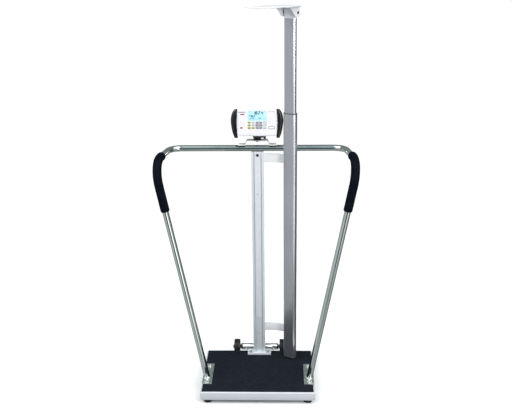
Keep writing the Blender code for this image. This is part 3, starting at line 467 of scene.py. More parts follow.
def smooth_between(table, at):
    """Reads a Catmull-Rom curve through (place, value) pairs at one place."""
    last = len(table) - 1
    k = max(i for i in range(last) if table[i][0] <= at or i == 0)
    before, after = table[max(k - 1, 0)], table[min(k + 2, last)]
    (a, va), (b, vb) = table[k], table[k + 1]
    share = min(max((at - a) / (b - a), 0.0), 1.0)
    slope_a = (vb - before[1]) / (b - before[0]) * (b - a)
    slope_b = (after[1] - va) / (after[0] - a) * (b - a)
    square, cube = share ** 2, share ** 3
    return (
        va * (2 * cube - 3 * square + 1) + slope_a * (cube - 2 * square + share)
        + vb * (3 * square - 2 * cube) + slope_b * (cube - square)
    )


# ---------------------------------------------------------------- mesh makers


def made(name, mesh, material, smooth_angle=40):
    obj = bpy.data.objects.new(name, mesh)
    bpy.context.scene.collection.objects.link(obj)
    mesh.materials.append(material)
    smoothed(mesh, smooth_angle)
    return obj


def smoothed(mesh, smooth_angle=40):
    mesh.shade_smooth()
    mesh.set_sharp_from_angle(angle=math.radians(smooth_angle))


def object_from(shape, name, material, smooth_angle=40):
    bmesh.ops.recalc_face_normals(shape, faces=shape.faces)
    mesh = bpy.data.meshes.new(name)
    shape.to_mesh(mesh)
    shape.free()
    return made(name, mesh, material, smooth_angle)


def add_rings(shape, rings, closed=False):
    """Skins a row of rings of points with quads, and caps its ends unless the row is closed."""
    loops = [[shape.verts.new(point) for point in ring] for ring in rings]
    following = loops[1:] + (loops[:1] if closed else [])
    for lower, upper in zip(loops, following):
        for i in range(len(lower)):
            j = (i + 1) % len(lower)
            shape.faces.new((lower[i], lower[j], upper[j], upper[i]))
    if not closed:
        shape.faces.new(loops[0][::-1])
        shape.faces.new(loops[-1])


def ring_object(name, rings, material, smooth_angle=40, closed=False):
    shape = bmesh.new()
    add_rings(shape, rings, closed)
    return object_from(shape, name, material, smooth_angle)


def circle_ring(radius, height, segments):
    angles = [2 * math.pi * i / segments for i in range(segments)]
    return [Vector((radius * math.cos(a), radius * math.sin(a), height)) for a in angles]


def turned(name, profile, material, segments=48, place=IN_PLACE, smooth_angle=40, closed=False):
    """A turned shape from (radius, height) points, none of them on the axis."""
    rings = [[place @ point for point in circle_ring(r, z, segments)] for r, z in profile]
    return ring_object(name, rings, material, smooth_angle, closed)


def swept(name, path, radius_at, material, segments):
    """A round tube along a path of points, its radius given by radius_at(distance along it)."""
    rings, travelled, last = [], 0.0, path[0]
    side = (path[1] - path[0]).orthogonal().normalized()
    for point, along in zip(path, directions(path)):
        side = (side - along * side.dot(along)).normalized()
        up = along.cross(side)
        travelled += (point - last).length
        last = point
        radius = radius_at(travelled)
        unit = circle_ring(1.0, 0, segments)
        rings.append([point + (side * p.x + up * p.y) * radius for p in unit])
    return ring_object(name, rings, material)


def slab(name, loops, thickness, edge, material, place=IN_PLACE):
    """A flat outline, with any holes as further loops, thickened along Z, its edges rounded."""
    curve = bpy.data.curves.new(name, "CURVE")
    curve.dimensions = "2D"
    curve.fill_mode = "BOTH"
    curve.extrude = thickness / 2 - edge
    curve.bevel_depth = edge
    curve.bevel_resolution = 2
    curve.offset = -edge
    for loop in loops:
        spline = curve.splines.new("POLY")
        spline.points.add(len(loop) - 1)
        for point, (x, y) in zip(spline.points, loop):
            point.co = (x, y, 0, 1)
        spline.use_cyclic_u = True
    flat = bpy.data.objects.new(name + "_curve", curve)
    bpy.context.scene.collection.objects.link(flat)
    mesh = evaluated_mesh(flat)
    bpy.data.objects.remove(flat, do_unlink=True)
    shape = bmesh.new()
    shape.from_mesh(mesh)
    bpy.data.meshes.remove(mesh)
    bmesh.ops.remove_doubles(shape, verts=shape.verts, dist=0.00001)
    shape.transform(place)
    return object_from(shape, name, material)


def evaluated_mesh(obj):
    bpy.context.view_layer.update()
    graph = bpy.context.evaluated_depsgraph_get()
    return bpy.data.meshes.new_from_object(obj.evaluated_get(graph))


def upright(name, loops, node, edge, material, place=IN_PLACE):
    """A slab that stands over the whole height of a node."""
    rise = shift(0, 0, middle(node).z)
    return slab(name, loops, extent(node).z, edge, material, place @ rise)


def sideways(name, loops, near, far, edge, material, place=IN_PLACE):
    """A slab whose outline is drawn in YZ, from one X to another."""
    centre = shift((near + far) / 2, 0, 0)
    return slab(name, loops, far - near, edge, material, place @ centre @ STAND_UP)


def block(name, size, edge, material, place=IN_PLACE, segments=3):
    shape = bmesh.new()
    bmesh.ops.create_cube(shape, size=1.0, matrix=Matrix.Diagonal((*size, 1.0)))
    bmesh.ops.bevel(
        shape, geom=list(shape.edges), offset=edge, segments=segments, profile=0.5, affect="EDGES"
    )
    shape.transform(place)
    return object_from(shape, name, material)


def united(name, objects):
    """Gathers separate closed meshes into one piece that keeps each mesh's material."""
    shape = bmesh.new()
    materials = []
    for obj in objects:
        material = obj.data.materials[0]
        if material not in materials:
            materials.append(material)
        first_face = len(shape.faces)
        shape.from_mesh(obj.data)
        shape.faces.ensure_lookup_table()
        for face in shape.faces[first_face:]:
            face.material_index = materials.index(material)
        bpy.data.objects.remove(obj, do_unlink=True)
    mesh = bpy.data.meshes.new(name)
    shape.to_mesh(mesh)
    shape.free()
    result = made(name, mesh, materials[0])
    for material in materials[1:]:
        mesh.materials.append(material)
    return result


def fused(target, other):
    """Joins two overlapping closed meshes into one skin."""
    modifier = target.modifiers.new("join", "BOOLEAN")
    modifier.operation = "UNION"
    modifier.solver = "EXACT"
    modifier.object = other
    mesh = evaluated_mesh(target)
    target.modifiers.clear()
    target.data = mesh
    smoothed(mesh)
    bpy.data.objects.remove(other, do_unlink=True)
    return target


def settle(obj, body, slot, *nodes):
    """Hands a finished piece to its CAD body and hides the CAD nodes it stands for. The slot argument
    is not used.
    """
    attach(obj, body)
    if nodes:
        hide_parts(*nodes)
    return obj


# ---------------------------------------------------------------- fasteners


def hex_flange_bolt(name, place, flange, height):
    """A hexagon head on a flange, with a chamfered crown."""
    foot, corner = height * 0.24, flange * 0.86
    skirt = [
        (flange * 0.94, 0), (flange, foot * 0.3), (flange, foot * 0.6), (flange * 0.90, foot),
    ]
    crown = [
        (corner * 0.98, foot * 0.9), (corner, foot + 0.0002), (corner, height * 0.88),
        (corner * 0.90, height), (corner * 0.5, height),
    ]
    under = turned(name + "_flange", skirt, ZINC, 36, place)
    return united(name, [under, turned(name + "_head", crown, ZINC, 6, place, 25)])


def socket_screw(name, place, radius, height, material):
    """A low domed screw head with a six-sided socket."""
    dome = [(0.96, 0), (1, 0.12), (0.96, 0.45), (0.80, 0.80), (0.60, 0.97), (0.48, 1)]
    rings = [circle_ring(radius * across, height * up, 36) for across, up in dome]
    for across, up in ((0.45, 0.98), (0.43, 0.30)):
        circle = circle_ring(1.0, 0, 36)
        rings.append([hexagon_point(p, radius * across, height * up) for p in circle])
    return ring_object(name, [[place @ p for p in ring] for ring in rings], material, 30)


def hexagon_point(direction, radius, height):
    """Where a ray from the centre meets a hexagon of that outer radius."""
    angle = math.atan2(direction.y, direction.x) % (math.pi / 3) - math.pi / 6
    reach = radius * math.cos(math.pi / 6) / math.cos(angle)
    return Vector((direction.x * reach, direction.y * reach, height))


# ---------------------------------------------------------------- platform


def cover_ring(inset, height):
    size, centre = extent("platform_cover"), middle("platform_cover")
    radius = max(0.0045 - inset * 0.5, 0.0012)
    loop = rounded_rectangle(size.x - 2 * inset, size.y - 2 * inset, radius, (centre.x, centre.y))
    return [Vector((x, y, height)) for x, y in loop]


def build_cover():
    """A pressed tray: crowned top edge, upright walls, and a hem turned in at the bottom."""
    bottom, top = low("platform_cover").z, high("platform_cover").z
    edge, hem, wall = 0.0042, 0.011, 0.0018
    rings = [
        (wall + 0.0045, top - wall), (wall, top - wall - 0.0045), (wall, bottom + wall + 0.001),
        (hem, bottom + wall), (hem, bottom), (0.0020, bottom), (0.0006, bottom + 0.0006),
        (0, bottom + 0.0020), (0, (bottom + top) / 2), (0, top - edge),
    ]
    for step in range(1, 7):
        angle = math.radians(15 * step)
        rings.append((edge * (1 - math.cos(angle)), top - edge * (1 - math.sin(angle))))
    rings.append((0.030, top))
    cover = ring_object("platform_tray", [cover_ring(*ring) for ring in rings], WHITE_STEEL_PAINTED_SHADE)
    settle(cover, "scale", "white_steel", "platform_cover")


def mat_spans(x):
    """The stretches of Y that the mat covers at one x, outside its notches."""
    if abs(x) > NOTCH_X:
        return [(MAT_LOW.y, NOTCH_FRONT), (NOTCH_REAR, MAT_HIGH.y)]
    return [(MAT_LOW.y, BASE_FRONT if abs(x) < BASE_X else MAT_HIGH.y)]


def build_mat():
    """A rubber sheet with a plain border and fine ribs from front to back."""
    rib_height, pitch, border, slope, sunk = 0.0006, 0.0032, 0.004, 0.0008, 0.0002
    base_top = MAT_HIGH.z - rib_height
    thickness = base_top - MAT_LOW.z
    outline = both_sides([
        (MAT_HIGH.x, MAT_LOW.y), (MAT_HIGH.x, NOTCH_FRONT), (NOTCH_X, NOTCH_FRONT),
        (NOTCH_X, NOTCH_REAR), (MAT_HIGH.x, NOTCH_REAR), (MAT_HIGH.x, MAT_HIGH.y),
        (BASE_X, MAT_HIGH.y), (BASE_X, BASE_FRONT),
    ])
    place = shift(0, 0, MAT_LOW.z + thickness / 2)
    base = slab("mat_base", [outline], thickness, 0.0004, MAT_RUBBER, place)
    section = ((-0.30, 0), (0.30, 0), (0.255, 0.5), (0.135, 1), (-0.135, 1), (-0.255, 0.5))
    shape = bmesh.new()
    count = int((MAT_HIGH.x - border) * 2 / pitch)
    for i in range(count + 1):
        x = (i - count / 2) * pitch
        for start, end in mat_spans(x):
            front, back = start + border, end - border
            full = rib_height + sunk
            add_rings(shape, [
                [Vector((x + across * pitch, y, base_top - sunk + up * rise)) for across, up in section]
                for y, rise in ((front, 0), (front + slope, full), (back - slope, full), (back, 0))
            ])
    ribs = object_from(shape, "mat_ribs", MAT_RUBBER)
    settle(united("ribbed_mat", [base, ribs]), "scale", "mat_rubber", "platform_mat")


def build_feet():
    """Each foot: a turned rubber pad, a lock nut, and a zinc stud that goes up into the cell."""
    nut = [(0.0082, 0.0106), (0.0090, 0.0112), (0.0090, 0.0150), (0.0080, 0.0158), (0.0055, 0.0158)]
    turns, stud_foot, crest, root = 14, 0.0155, 0.0049, 0.0044
    for corner in ("front_left", "front_right", "rear_left", "rear_right"):
        node = "leveling_foot_" + corner
        radius = extent(node).x / 2
        pad = [
            (radius - 0.0016, 0), (radius - 0.0004, 0.0006), (radius, 0.0018), (radius, 0.0040),
            (radius - 0.0006, 0.0046), (radius - 0.0006, 0.0054), (radius, 0.0060),
            (radius - 0.0010, 0.0085), (radius * 0.80, 0.0104), (radius * 0.45, 0.0110),
        ]
        rise = (high(node).z - stud_foot) / (turns * 2)
        stud = [(crest if i % 2 else root, stud_foot + rise * i) for i in range(turns * 2 + 1)]
        pieces = [
            turned("pad", pad, BLACK_RUBBER, 40, over(node)),
            turned("nut", nut, ZINC, 6, over(node), 25),
            turned("stud", stud, ZINC, 24, over(node)),
        ]
        settle(united("foot_" + corner, pieces), "foot_" + corner, "black_rubber", node)


# ---------------------------------------------------------------- column


def column_loops():
    """The extrusion's section: rounded corners, and a deep slot each side of the front inlay."""
    x, y, wall, corner, lining = 0.025, 0.0125, 0.002, 0.0018, 0.0012
    slot_in, slot_out, slot_deep = 0.0131, 0.0158, 0.0045
    outer = [
        (slot_in, -y), (slot_in, -y + slot_deep), (slot_out, -y + slot_deep), (slot_out, -y),
        *arc((x - corner, -y + corner), corner, -90, 0, 4),
        *arc((x - corner, y - corner), corner, 0, 90, 4),
    ]
    inner = [
        (slot_in - lining, -y + wall), (slot_in - lining, -y + slot_deep + lining),
        (slot_out + lining, -y + slot_deep + lining), (slot_out + lining, -y + wall),
        (x - wall, -y + wall), (x - wall, y - wall),
    ]
    return [both_sides(outer), both_sides(inner)]


def build_column():
    place = shift(0, middle("column_post").y, 0)
    post = upright("column_extrusion", column_loops(), "column_post", 0.0002, COLUMN_METAL, place)
    settle(post, "scale", "column_aluminium", "column_post")
    node = "column_front_strip"
    strip = block("front_inlay", extent(node), 0.0004, STRIP_FILM, shift(*middle(node)))
    settle(strip, "scale", "strip_grey", node)
    for node, name, material in (
        ("column_top_bolt", "top_cap_screw", GLOSS_BLACK),
        ("strip_screw_upper", "inlay_screw_upper", ZINC),
        ("strip_screw_lower", "inlay_screw_lower", ZINC),
    ):
        place = shift(middle(node).x, high(node).y, middle(node).z) @ FACING_FRONT
        screw = socket_screw(name, place, extent(node).x / 2, extent(node).y, material)
        settle(screw, "scale", "black_plastic", node)
    node = "column_base_plate"
    outline = rounded_rectangle(extent(node).x, extent(node).y, 0.0025)
    base = upright("base_plate", [outline], node, 0.0009, WHITE_STEEL_PAINTED_SHADE, over(node))
    settle(base, "scale", "white_steel", node)
    for side in ("left", "right"):
        add_bolt("column_base_bolt_" + side, "base_bolt_" + side, "column_base_plate")


def add_bolt(node, name, plate, turn=0.0):
    """A flange bolt that stands on a plate, turned by an angle in radians."""
    foot = high(plate).z + GAP
    place = over(node, foot) @ Matrix.Rotation(turn, 4, "Z")
    bolt = hex_flange_bolt(name, place, extent(node).x / 2, high(node).z - foot)
    settle(bolt, "scale", "zinc", node)


# ---------------------------------------------------------------- handrail


def rail_half(steps):
    """The tube's axis on the right side, from its foot to the middle of the cross bar."""
    foot = Vector((*RAIL_FOOT, low("handrail_tube").z))
    above = foot + Vector((0, 0, 0.004))
    front = Vector((*RAIL_FRONT, RAIL_HEIGHT))
    rear = Vector((*RAIL_REAR, RAIL_HEIGHT))
    centre = Vector((0, RAIL_REAR[1], RAIL_HEIGHT))
    front_bend = bend(above, front, rear, RAIL_FRONT_BEND, steps)
    return [foot, above, *front_bend, *bend(front, rear, centre, RAIL_REAR_BEND, steps), centre]


def weld_bead(x, y, z):
    """A hand-laid fillet weld: a lumpy ring round the tube's foot."""
    rings, segments, ripples = [], 72, 24
    for i in range(segments):
        angle = 2 * math.pi * i / segments
        outward = Vector((math.cos(angle), math.sin(angle), 0))
        centre = Vector((x, y, z + 0.0006)) + outward * (TUBE_RADIUS + 0.0004)
        size = 0.0021 + 0.00035 * math.sin(angle * ripples)
        ring = [centre + outward * p.x + Vector((0, 0, p.y * 0.8)) for p in circle_ring(size, 0, 10)]
        rings.append([Vector((p.x, p.y, max(p.z, z - 0.0001))) for p in ring])
    return ring_object("weld", rings, ZINC, closed=True)


def grip_radius(travelled):
    """The foam's radius, rounded off over a short stretch at each end."""
    surface = GRIP_RADIUS - 0.0004
    from_end = max(min(travelled, GRIP_LENGTH - travelled), 0.0)
    if from_end >= GRIP_ROUND:
        return surface
    share = 1 - from_end / GRIP_ROUND
    return surface - GRIP_ROUND * 0.75 * (1 - math.sqrt(max(0.0, 1 - share ** 2)))


def build_grips():
    ends = [GRIP_ROUND * (1 - math.cos(math.radians(a))) for a in (0, 20, 40, 60, 80)]
    stops = ends + [GRIP_ROUND + (GRIP_LENGTH - 2 * GRIP_ROUND) * i / 50 for i in range(51)]
    stops += [GRIP_LENGTH - e for e in reversed(ends)]
    fine = rail_half(48)
    path = [point_along(fine, GRIP_START + stop) for stop in stops]
    for side, route in (("left", mirrored(path)), ("right", path)):
        grip = swept("foam_grip_" + side, route, grip_radius, FOAM, 48)
        for vertex in grip.data.vertices:
            drift = noise.noise(vertex.co * 38) * 0.5 + noise.noise(vertex.co * 110) * 0.2
            vertex.co -= vertex.normal * 0.0005 * max(0.0, 0.5 + drift)
        settle(grip, "scale", "foam", "handrail_grip_" + side)


def build_rail():
    right = rail_half(24)
    whole = mirrored(right)[:-1] + right[::-1]
    tube = swept("polished_rail", whole, lambda travelled: TUBE_RADIUS, CHROME, 40)
    settle(tube, "scale", "chrome", "handrail_tube")
    build_grips()
    for side, sign in (("left", -1), ("right", 1)):
        node = "rail_plate_" + side
        outline = rounded_rectangle(extent(node).x, extent(node).y, 0.004)
        plate = upright("foot_plate", [outline], node, 0.0008, ZINC, over(node))
        bead = weld_bead(sign * RAIL_FOOT[0], RAIL_FOOT[1], high(node).z)
        settle(united("rail_foot_" + side, [plate, bead]), "scale", "zinc", node)
        for end in ("front", "rear"):
            place = end + "_" + side
            add_bolt("rail_bolt_" + place, "plate_bolt_" + place, node, 0.4 + sign)


# ---------------------------------------------------------------- display


def build_bridge():
    """The bent strap that stands on the cross bar, on two rubber saddles."""
    node, thickness, inner = "display_bridge", 0.002, 0.048
    top, foot, outer = high(node).z - thickness / 2, low(node).z + thickness / 2, high(node).x
    shoulder, knee = (inner - 0.006, top), (inner, foot)
    right = [
        *bend((0, top), shoulder, knee, 0.008, 8), *bend(shoulder, knee, (outer, foot), 0.004, 6),
        Vector((outer, foot)),
    ]
    path = [Vector((-x, z)) for x, z in reversed(right)] + [Vector((0, top))] + right
    place = shift(0, middle(node).y, 0) @ FACING_FRONT
    outline = ribbon(path, thickness)
    strap = slab("bridge_strap", [outline], extent(node).y, 0.0004, STRAP_STEEL, place)
    settle(strap, "scale", "white_steel", node)
    for side in ("left", "right"):
        node = "saddle_pad_" + side
        half, bottom, top, crop = extent(node).y / 2, low(node).z, high(node).z, 0.002
        seat_radius = TUBE_RADIUS + GAP
        start = math.degrees(math.asin((bottom - RAIL_HEIGHT) / seat_radius))
        seat = arc((0, RAIL_HEIGHT), seat_radius, 180 - start, start, 16)
        outline = [
            (-half, bottom), *seat, (half, bottom), (half, top - crop),
            (half - crop, top), (-half + crop, top), (-half, top - crop),
        ]
        place = shift(0, middle(node).y, 0)
        pad = sideways(
            "saddle_" + side, [outline], low(node).x, high(node).x, 0.0006, BLACK_RUBBER, place
        )
        settle(pad, "scale", "black_rubber", node)


def build_neck():
    """The turning foot, and the neck above it: five leaves on a core, round the tilt shaft."""
    place = shift(0, DISPLAY_PIVOT.y, 0)
    disc_low, disc_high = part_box("swivel_disc")
    radius, bottom, top = extent("swivel_disc").x / 2, disc_low.z, disc_high.z
    seat = high("display_bridge").z + GAP
    profile = [
        (0.0058, bottom), (0.0060, bottom + 0.0004), (0.0060, seat), (radius - 0.0006, seat),
        (radius, seat + 0.0007), (radius, top - 0.0010), (radius - 0.0004, top - 0.0003),
        (radius - 0.0014, top), (radius * 0.5, top),
    ]
    disc = turned("turning_foot", profile, BLACK_PLASTIC, 56, place)
    settle(disc, "swivel", "black_plastic", "swivel_disc")
    foot, crown, shaft_z = low("swivel_neck").z, 0.0075, DISPLAY_PIVOT.z
    hole = arc((0, shaft_z), SHAFT_RADIUS + GAP, 0, 342, 19)
    width, leaves, groove, step_in = extent("swivel_neck").x, 5, 0.0010, 0.0012
    leaf = (width - groove * (leaves - 1)) / leaves
    left = -width / 2
    pieces = []
    outline = [(-crown, foot), (crown, foot), *arc((0, shaft_z), crown, 0, 180, 20)]
    for i in range(leaves):
        x = left + i * (leaf + groove)
        pieces.append(
            sideways("leaf", [outline, hole], x, x + leaf, 0.0006, BLACK_PLASTIC, place)
        )
    crown -= step_in
    core = [(-crown, foot), (crown, foot), *arc((0, shaft_z), crown, 0, 180, 20)]
    left += 0.0002
    pieces.append(sideways("core", [core, hole], left, -left, 0.0001, BLACK_PLASTIC, place))
    settle(united("pivot_neck", pieces), "swivel", "black_plastic", "swivel_neck")


def swell(height):
    """How far the housing's sides bulge into the end caps at one height."""
    share = (height - BODY_LOW) / (BODY_HIGH - BODY_LOW)
    return BODY_BULGE * math.sin(math.pi * min(max(share, 0.0), 1.0)) ** 0.8


def subdivided(points, longest=0.006):
    """A closed outline with long sides split, so that it can follow a curve."""
    found = []
    for a, b in zip(points, points[1:] + points[:1]):
        steps = max(1, int((b - a).length / longest))
        found += [a.lerp(b, k / steps) for k in range(steps)]
    return found


def shell_piece(name, profile, inset=0.0):
    """A closed housing part whose side view is profile and whose ends follow the bulge."""
    shape = bmesh.new()
    loop = subdivided([Vector(point) for point in profile])
    left, right = [
        [shape.verts.new((sign * (BODY_HALF + swell(z) - inset), y, z)) for y, z in loop]
        for sign in (-1, 1)
    ]
    for i in range(len(loop)):
        j = (i + 1) % len(loop)
        shape.faces.new((left[i], left[j], right[j], right[i]))
    ends = [shape.faces.new(left), shape.faces.new(right[::-1])]
    bmesh.ops.triangulate(shape, faces=ends)
    shape.transform(AT_DISPLAY)
    return object_from(shape, name, WHITE_PLASTIC, 35)


def rounded_run(corners, radius, steps):
    """An open run of points with every corner but its first and last rounded."""
    found = [corners[0]]
    for before, corner, after in zip(corners, corners[1:], corners[2:]):
        found += bend(before, corner, after, radius, steps)
    return found + [corners[-1]]


def facing(x, y, z):
    """Places a part drawn in XY in the display's frame, facing its reader."""
    return AT_DISPLAY @ shift(x, y, z) @ FACING_FRONT


def build_shells():
    corners = [
        (SHELL_SPLIT, BODY_HIGH), (FACE_Y, BODY_HIGH), (FACE_Y, BODY_LOW), (SHELL_SPLIT, BODY_LOW),
    ]
    profile = rounded_run(corners, 0.0028, 5)
    front = shell_piece("housing_front", profile[-1:] + profile[:-1])
    settle(front, "display", "white_plastic", "display_front_shell")
    split = SHELL_SPLIT + 0.0006
    corners = [
        (split, BODY_LOW), SLOPE_FOOT, SLOPE_HEAD, (BODY_REAR, 0.094),
        (BODY_REAR - 0.014, BODY_HIGH), (split, BODY_HIGH),
    ]
    rear = shell_piece("housing_rear", rounded_run(corners, 0.006, 6), 0.0002)
    settle(rear, "display", "white_plastic", "display_rear_shell")
    lid_size, lid_thick, lid_z = (extent("battery_lid").x, 0.046), 0.002, 0.066
    back = BODY_REAR + GAP
    outline, place = rounded_rectangle(*lid_size, 0.003), facing(0, back + lid_thick / 2, lid_z)
    parts = [slab("lid", [outline], lid_thick, 0.0007, WHITE_PLASTIC, place)]
    for i in range(5):
        place = AT_DISPLAY @ shift(0, back + lid_thick, lid_z + 0.010 + i * 0.0022)
        rib = block("grip_rib", (0.024, 0.0008, 0.0010), 0.0003, WHITE_PLASTIC, place, 2)
        parts.append(rib)
    settle(united("battery_door", parts), "battery_cover", "white_plastic", "battery_lid")


# The end caps' outer, rear and front faces, as (height, distance) from the tilt axis.
CAP_OUTER = [
    (-0.004, 0.0895), (0.012, 0.0955), (0.032, 0.1005), (0.0615, 0.1040),
    (0.078, 0.1030), (0.093, 0.0990), (0.104, 0.0935), (0.110, 0.0875),
]
CAP_REAR = [(-0.004, -0.017), (0.035, 0.017), (0.095, 0.017), (0.110, 0.003)]
CAP_FRONT = [
    (-0.004, -0.0335), (0.004, -0.0362), (0.030, -0.0370),
    (0.080, -0.0370), (0.104, -0.0360), (0.110, -0.0335),
]


def cap_section(height, inset, sign):
    """The cap's outline on plan at one height: flat inside, rounded at the front and rear."""
    inner = BODY_HALF + swell(height) + GAP
    outer = max(smooth_between(CAP_OUTER, height) - inset, inner + 0.001)
    front = smooth_between(CAP_FRONT, height) + inset
    rear = straight_between(CAP_REAR, height) - inset
    radius = min(0.0105, (outer - inner) * 0.8, (rear - front) * 0.42)
    half_way = inner + (outer - radius - inner) * 0.5
    loop = [
        (inner, front), (half_way, front),
        *arc((outer - radius, front + radius), radius, -90, 0, 8),
        *arc((outer - radius, rear - radius), radius, 0, 90, 8),
        (half_way, rear), (inner, rear),
    ]
    return [AT_DISPLAY @ Vector((sign * x, y, height)) for x, y in loop]


def build_caps():
    """Black end caps with rounded rims at the top and bottom, and one fine groove round them."""
    bottom, top, seam, steps = -0.0040, 0.1100, 0.0285, 44
    heights = [
        (seam - 0.0010, 0.0), (seam - 0.0005, 0.0007), (seam + 0.0005, 0.0007), (seam + 0.0010, 0.0),
    ]
    for rise, inset in ((0, 0.0016), (0.0004, 0.0007), (0.0014, 0.0)):
        heights += [(bottom + rise, inset), (top - rise, inset)]
    for i in range(1, steps):
        height = bottom + (top - bottom) * i / steps
        if abs(height - seam) > 0.0016:
            heights.append((height, 0.0))
    heights.sort()
    for side, sign in (("left", -1), ("right", 1)):
        rings = [cap_section(height, inset, sign) for height, inset in heights]
        cap = ring_object("cheek_cap_" + side, rings, GLOSS_BLACK, 50)
        settle(cap, "display", "black_plastic", "display_end_cap_" + side)


KEY_COLUMNS = (-0.0307, -0.0152, 0.0003, 0.0158, 0.0313)
KEY_ROWS = (0.0568, 0.0462, 0.0356)
KEY_SIZE = (0.0128, 0.0070)
NUMBER_KEY_SIZE = (0.0112, 0.0068)
INK_HEIGHT = 0.0002             # how far a printed mark stands above the film


def raised(name, x, z, size, material, proud=INK_HEIGHT, line=0.0):
    """A raised pad on the overlay, or only a frame of one where a line width is given."""
    radius = min(size) * 0.42
    loops = [rounded_rectangle(*size, radius)]
    if line:
        loops.append(rounded_rectangle(size[0] - 2 * line, size[1] - 2 * line, radius - line))
    edge = proud * (0.4 if line else 0.7)
    return slab(name, loops, 2 * proud, edge, material, facing(x, FILM_FRONT, z))


def keys():
    """Function keys at the left, number keys in the middle, ringed keys at the right."""
    parts = []
    for column, x in enumerate(KEY_COLUMNS):
        for row, z in enumerate(KEY_ROWS):
            size, material = KEY_SIZE, KEY_BLOCK
            if column == 0 or (column, row) == (1, 2):
                material = KEY_YELLOW
            elif column in (2, 3):
                size, material = NUMBER_KEY_SIZE, KEY_GREY
            elif column == 4:
                material = OVERLAY_FILM
            parts.append(raised("key", x, z, size, material, 0.0005))
            if column == 4:
                parts.append(raised("ring", x, z, KEY_SIZE, KEY_TEAL, 0.0006, 0.0017))
    return parts


def build_overlay():
    margin, lap = 0.003, 0.002
    width, height = 2 * BODY_HALF - 2 * margin, BODY_HIGH - BODY_LOW - 2 * margin
    centre = (BODY_LOW + BODY_HIGH) / 2
    window = rounded_rectangle(
        LCD_SIZE[0] - lap, LCD_SIZE[1] - lap, 0.0015, (LCD_CENTRE[0], LCD_CENTRE[1] - centre)
    )
    film = slab(
        "film", [rounded_rectangle(width, height, 0.005), window], FILM_THICKNESS, 0.0002,
        OVERLAY_FILM, facing(0, FILM_FRONT + FILM_THICKNESS / 2, centre),
    )
    parts = [
        film, raised("number_block", 0.00805, KEY_ROWS[1], (0.0285, 0.0305), KEY_BLOCK), *keys(),
        raised("card_frame", 0.0580, 0.0366, (0.0270, 0.0112), INK_DARK, line=0.0017),
        raised("rule_left", -0.0585, 0.0975, (0.0260, 0.0026), KEY_TEAL),
        raised("mark_left", -0.0575, 0.0890, (0.0170, 0.0042), INK_RED),
        raised("mark_low", -0.0610, 0.0362, (0.0100, 0.0060), INK_RED),
        raised("rule_right", 0.0575, 0.1000, (0.0250, 0.0016), KEY_BLOCK),
    ]
    settle(united("printed_overlay", parts), "display", "overlay_white", "keypad_overlay")


# Each bar of a seven-segment digit: its side, its level, and whether it stands upright.
SEGMENTS = {
    "a": (0, 1, False), "g": (0, 0, False), "d": (0, -1, False), "f": (-1, 0.5, True),
    "b": (1, 0.5, True), "e": (-1, -0.5, True), "c": (1, -0.5, True),
}
LIT = {
    0: "abcdef", 1: "bc", 2: "abged", 4: "fgbc", 5: "afgcd", 6: "afgecd", 7: "abc", 8: "abcdefg",
}
# Rows of figures on the LCD: the row's height, its digits' size, and each digit with its X.
FIGURES = (
    (0.0945, 0.0115, ((1, -0.0115), (8, -0.0025), (2, 0.0085), (4, 0.0205))),
    (0.0825, 0.0078, ((1, -0.0320), (7, -0.0255), (6, -0.0185), (2, -0.0105))),
    (0.0730, 0.0048, ((2, -0.0240), (4, -0.0190), (5, -0.0140), (0, 0.0085), (6, 0.0135))),
)
DOTS = ((0.0150, 0.0892, 0.0016), (0.0300, 0.0990, 0.0030), (-0.0300, 0.0990, 0.0022))


def lcd_mark(name, loop, x, z):
    return slab(name, [loop], 0.0003, 0.00004, LCD_INK, facing(x, FILM_BACK, z))


def digit(value, x, z, height):
    """One seven-segment digit, drawn as thin dark bars that lean to the right."""
    t, reach, rise, lean = height * 0.12, height * 0.28, height * 0.47, 0.10
    bars = []
    for name in LIT[value]:
        side, level, stands = SEGMENTS[name]
        half = rise / 2 if stands else reach * 0.94
        bar = [(-half, 0), (-half + t, t), (half - t, t), (half, 0), (half - t, -t), (-half + t, -t)]
        if stands:
            bar = [(across, along) for along, across in bar]
        bar = [(side * reach + across, level * rise + up) for across, up in bar]
        bars.append(lcd_mark("segment", [(across + up * lean, up) for across, up in bar], x, z))
    return bars


def build_lcd():
    place = AT_DISPLAY @ shift(LCD_CENTRE[0], FACE_Y + 0.0022, LCD_CENTRE[1])
    glass = block("lcd_glass", (LCD_SIZE[0], 0.005, LCD_SIZE[1]), 0.0002, LCD_GLASS, place, 2)
    settle(glass, "display", "lcd_blue", "lcd_panel")
    parts = []
    for z, height, digits in FIGURES:
        for value, x in digits:
            parts += digit(value, x, z, height)
    for x, z, across in DOTS:
        loop = rounded_rectangle(across, 0.0016, 0.0004, (x, z), 2)
        parts.append(lcd_mark("dot", loop, 0, 0))
    settle(united("lcd_figures", parts), "display", "lcd_blue")


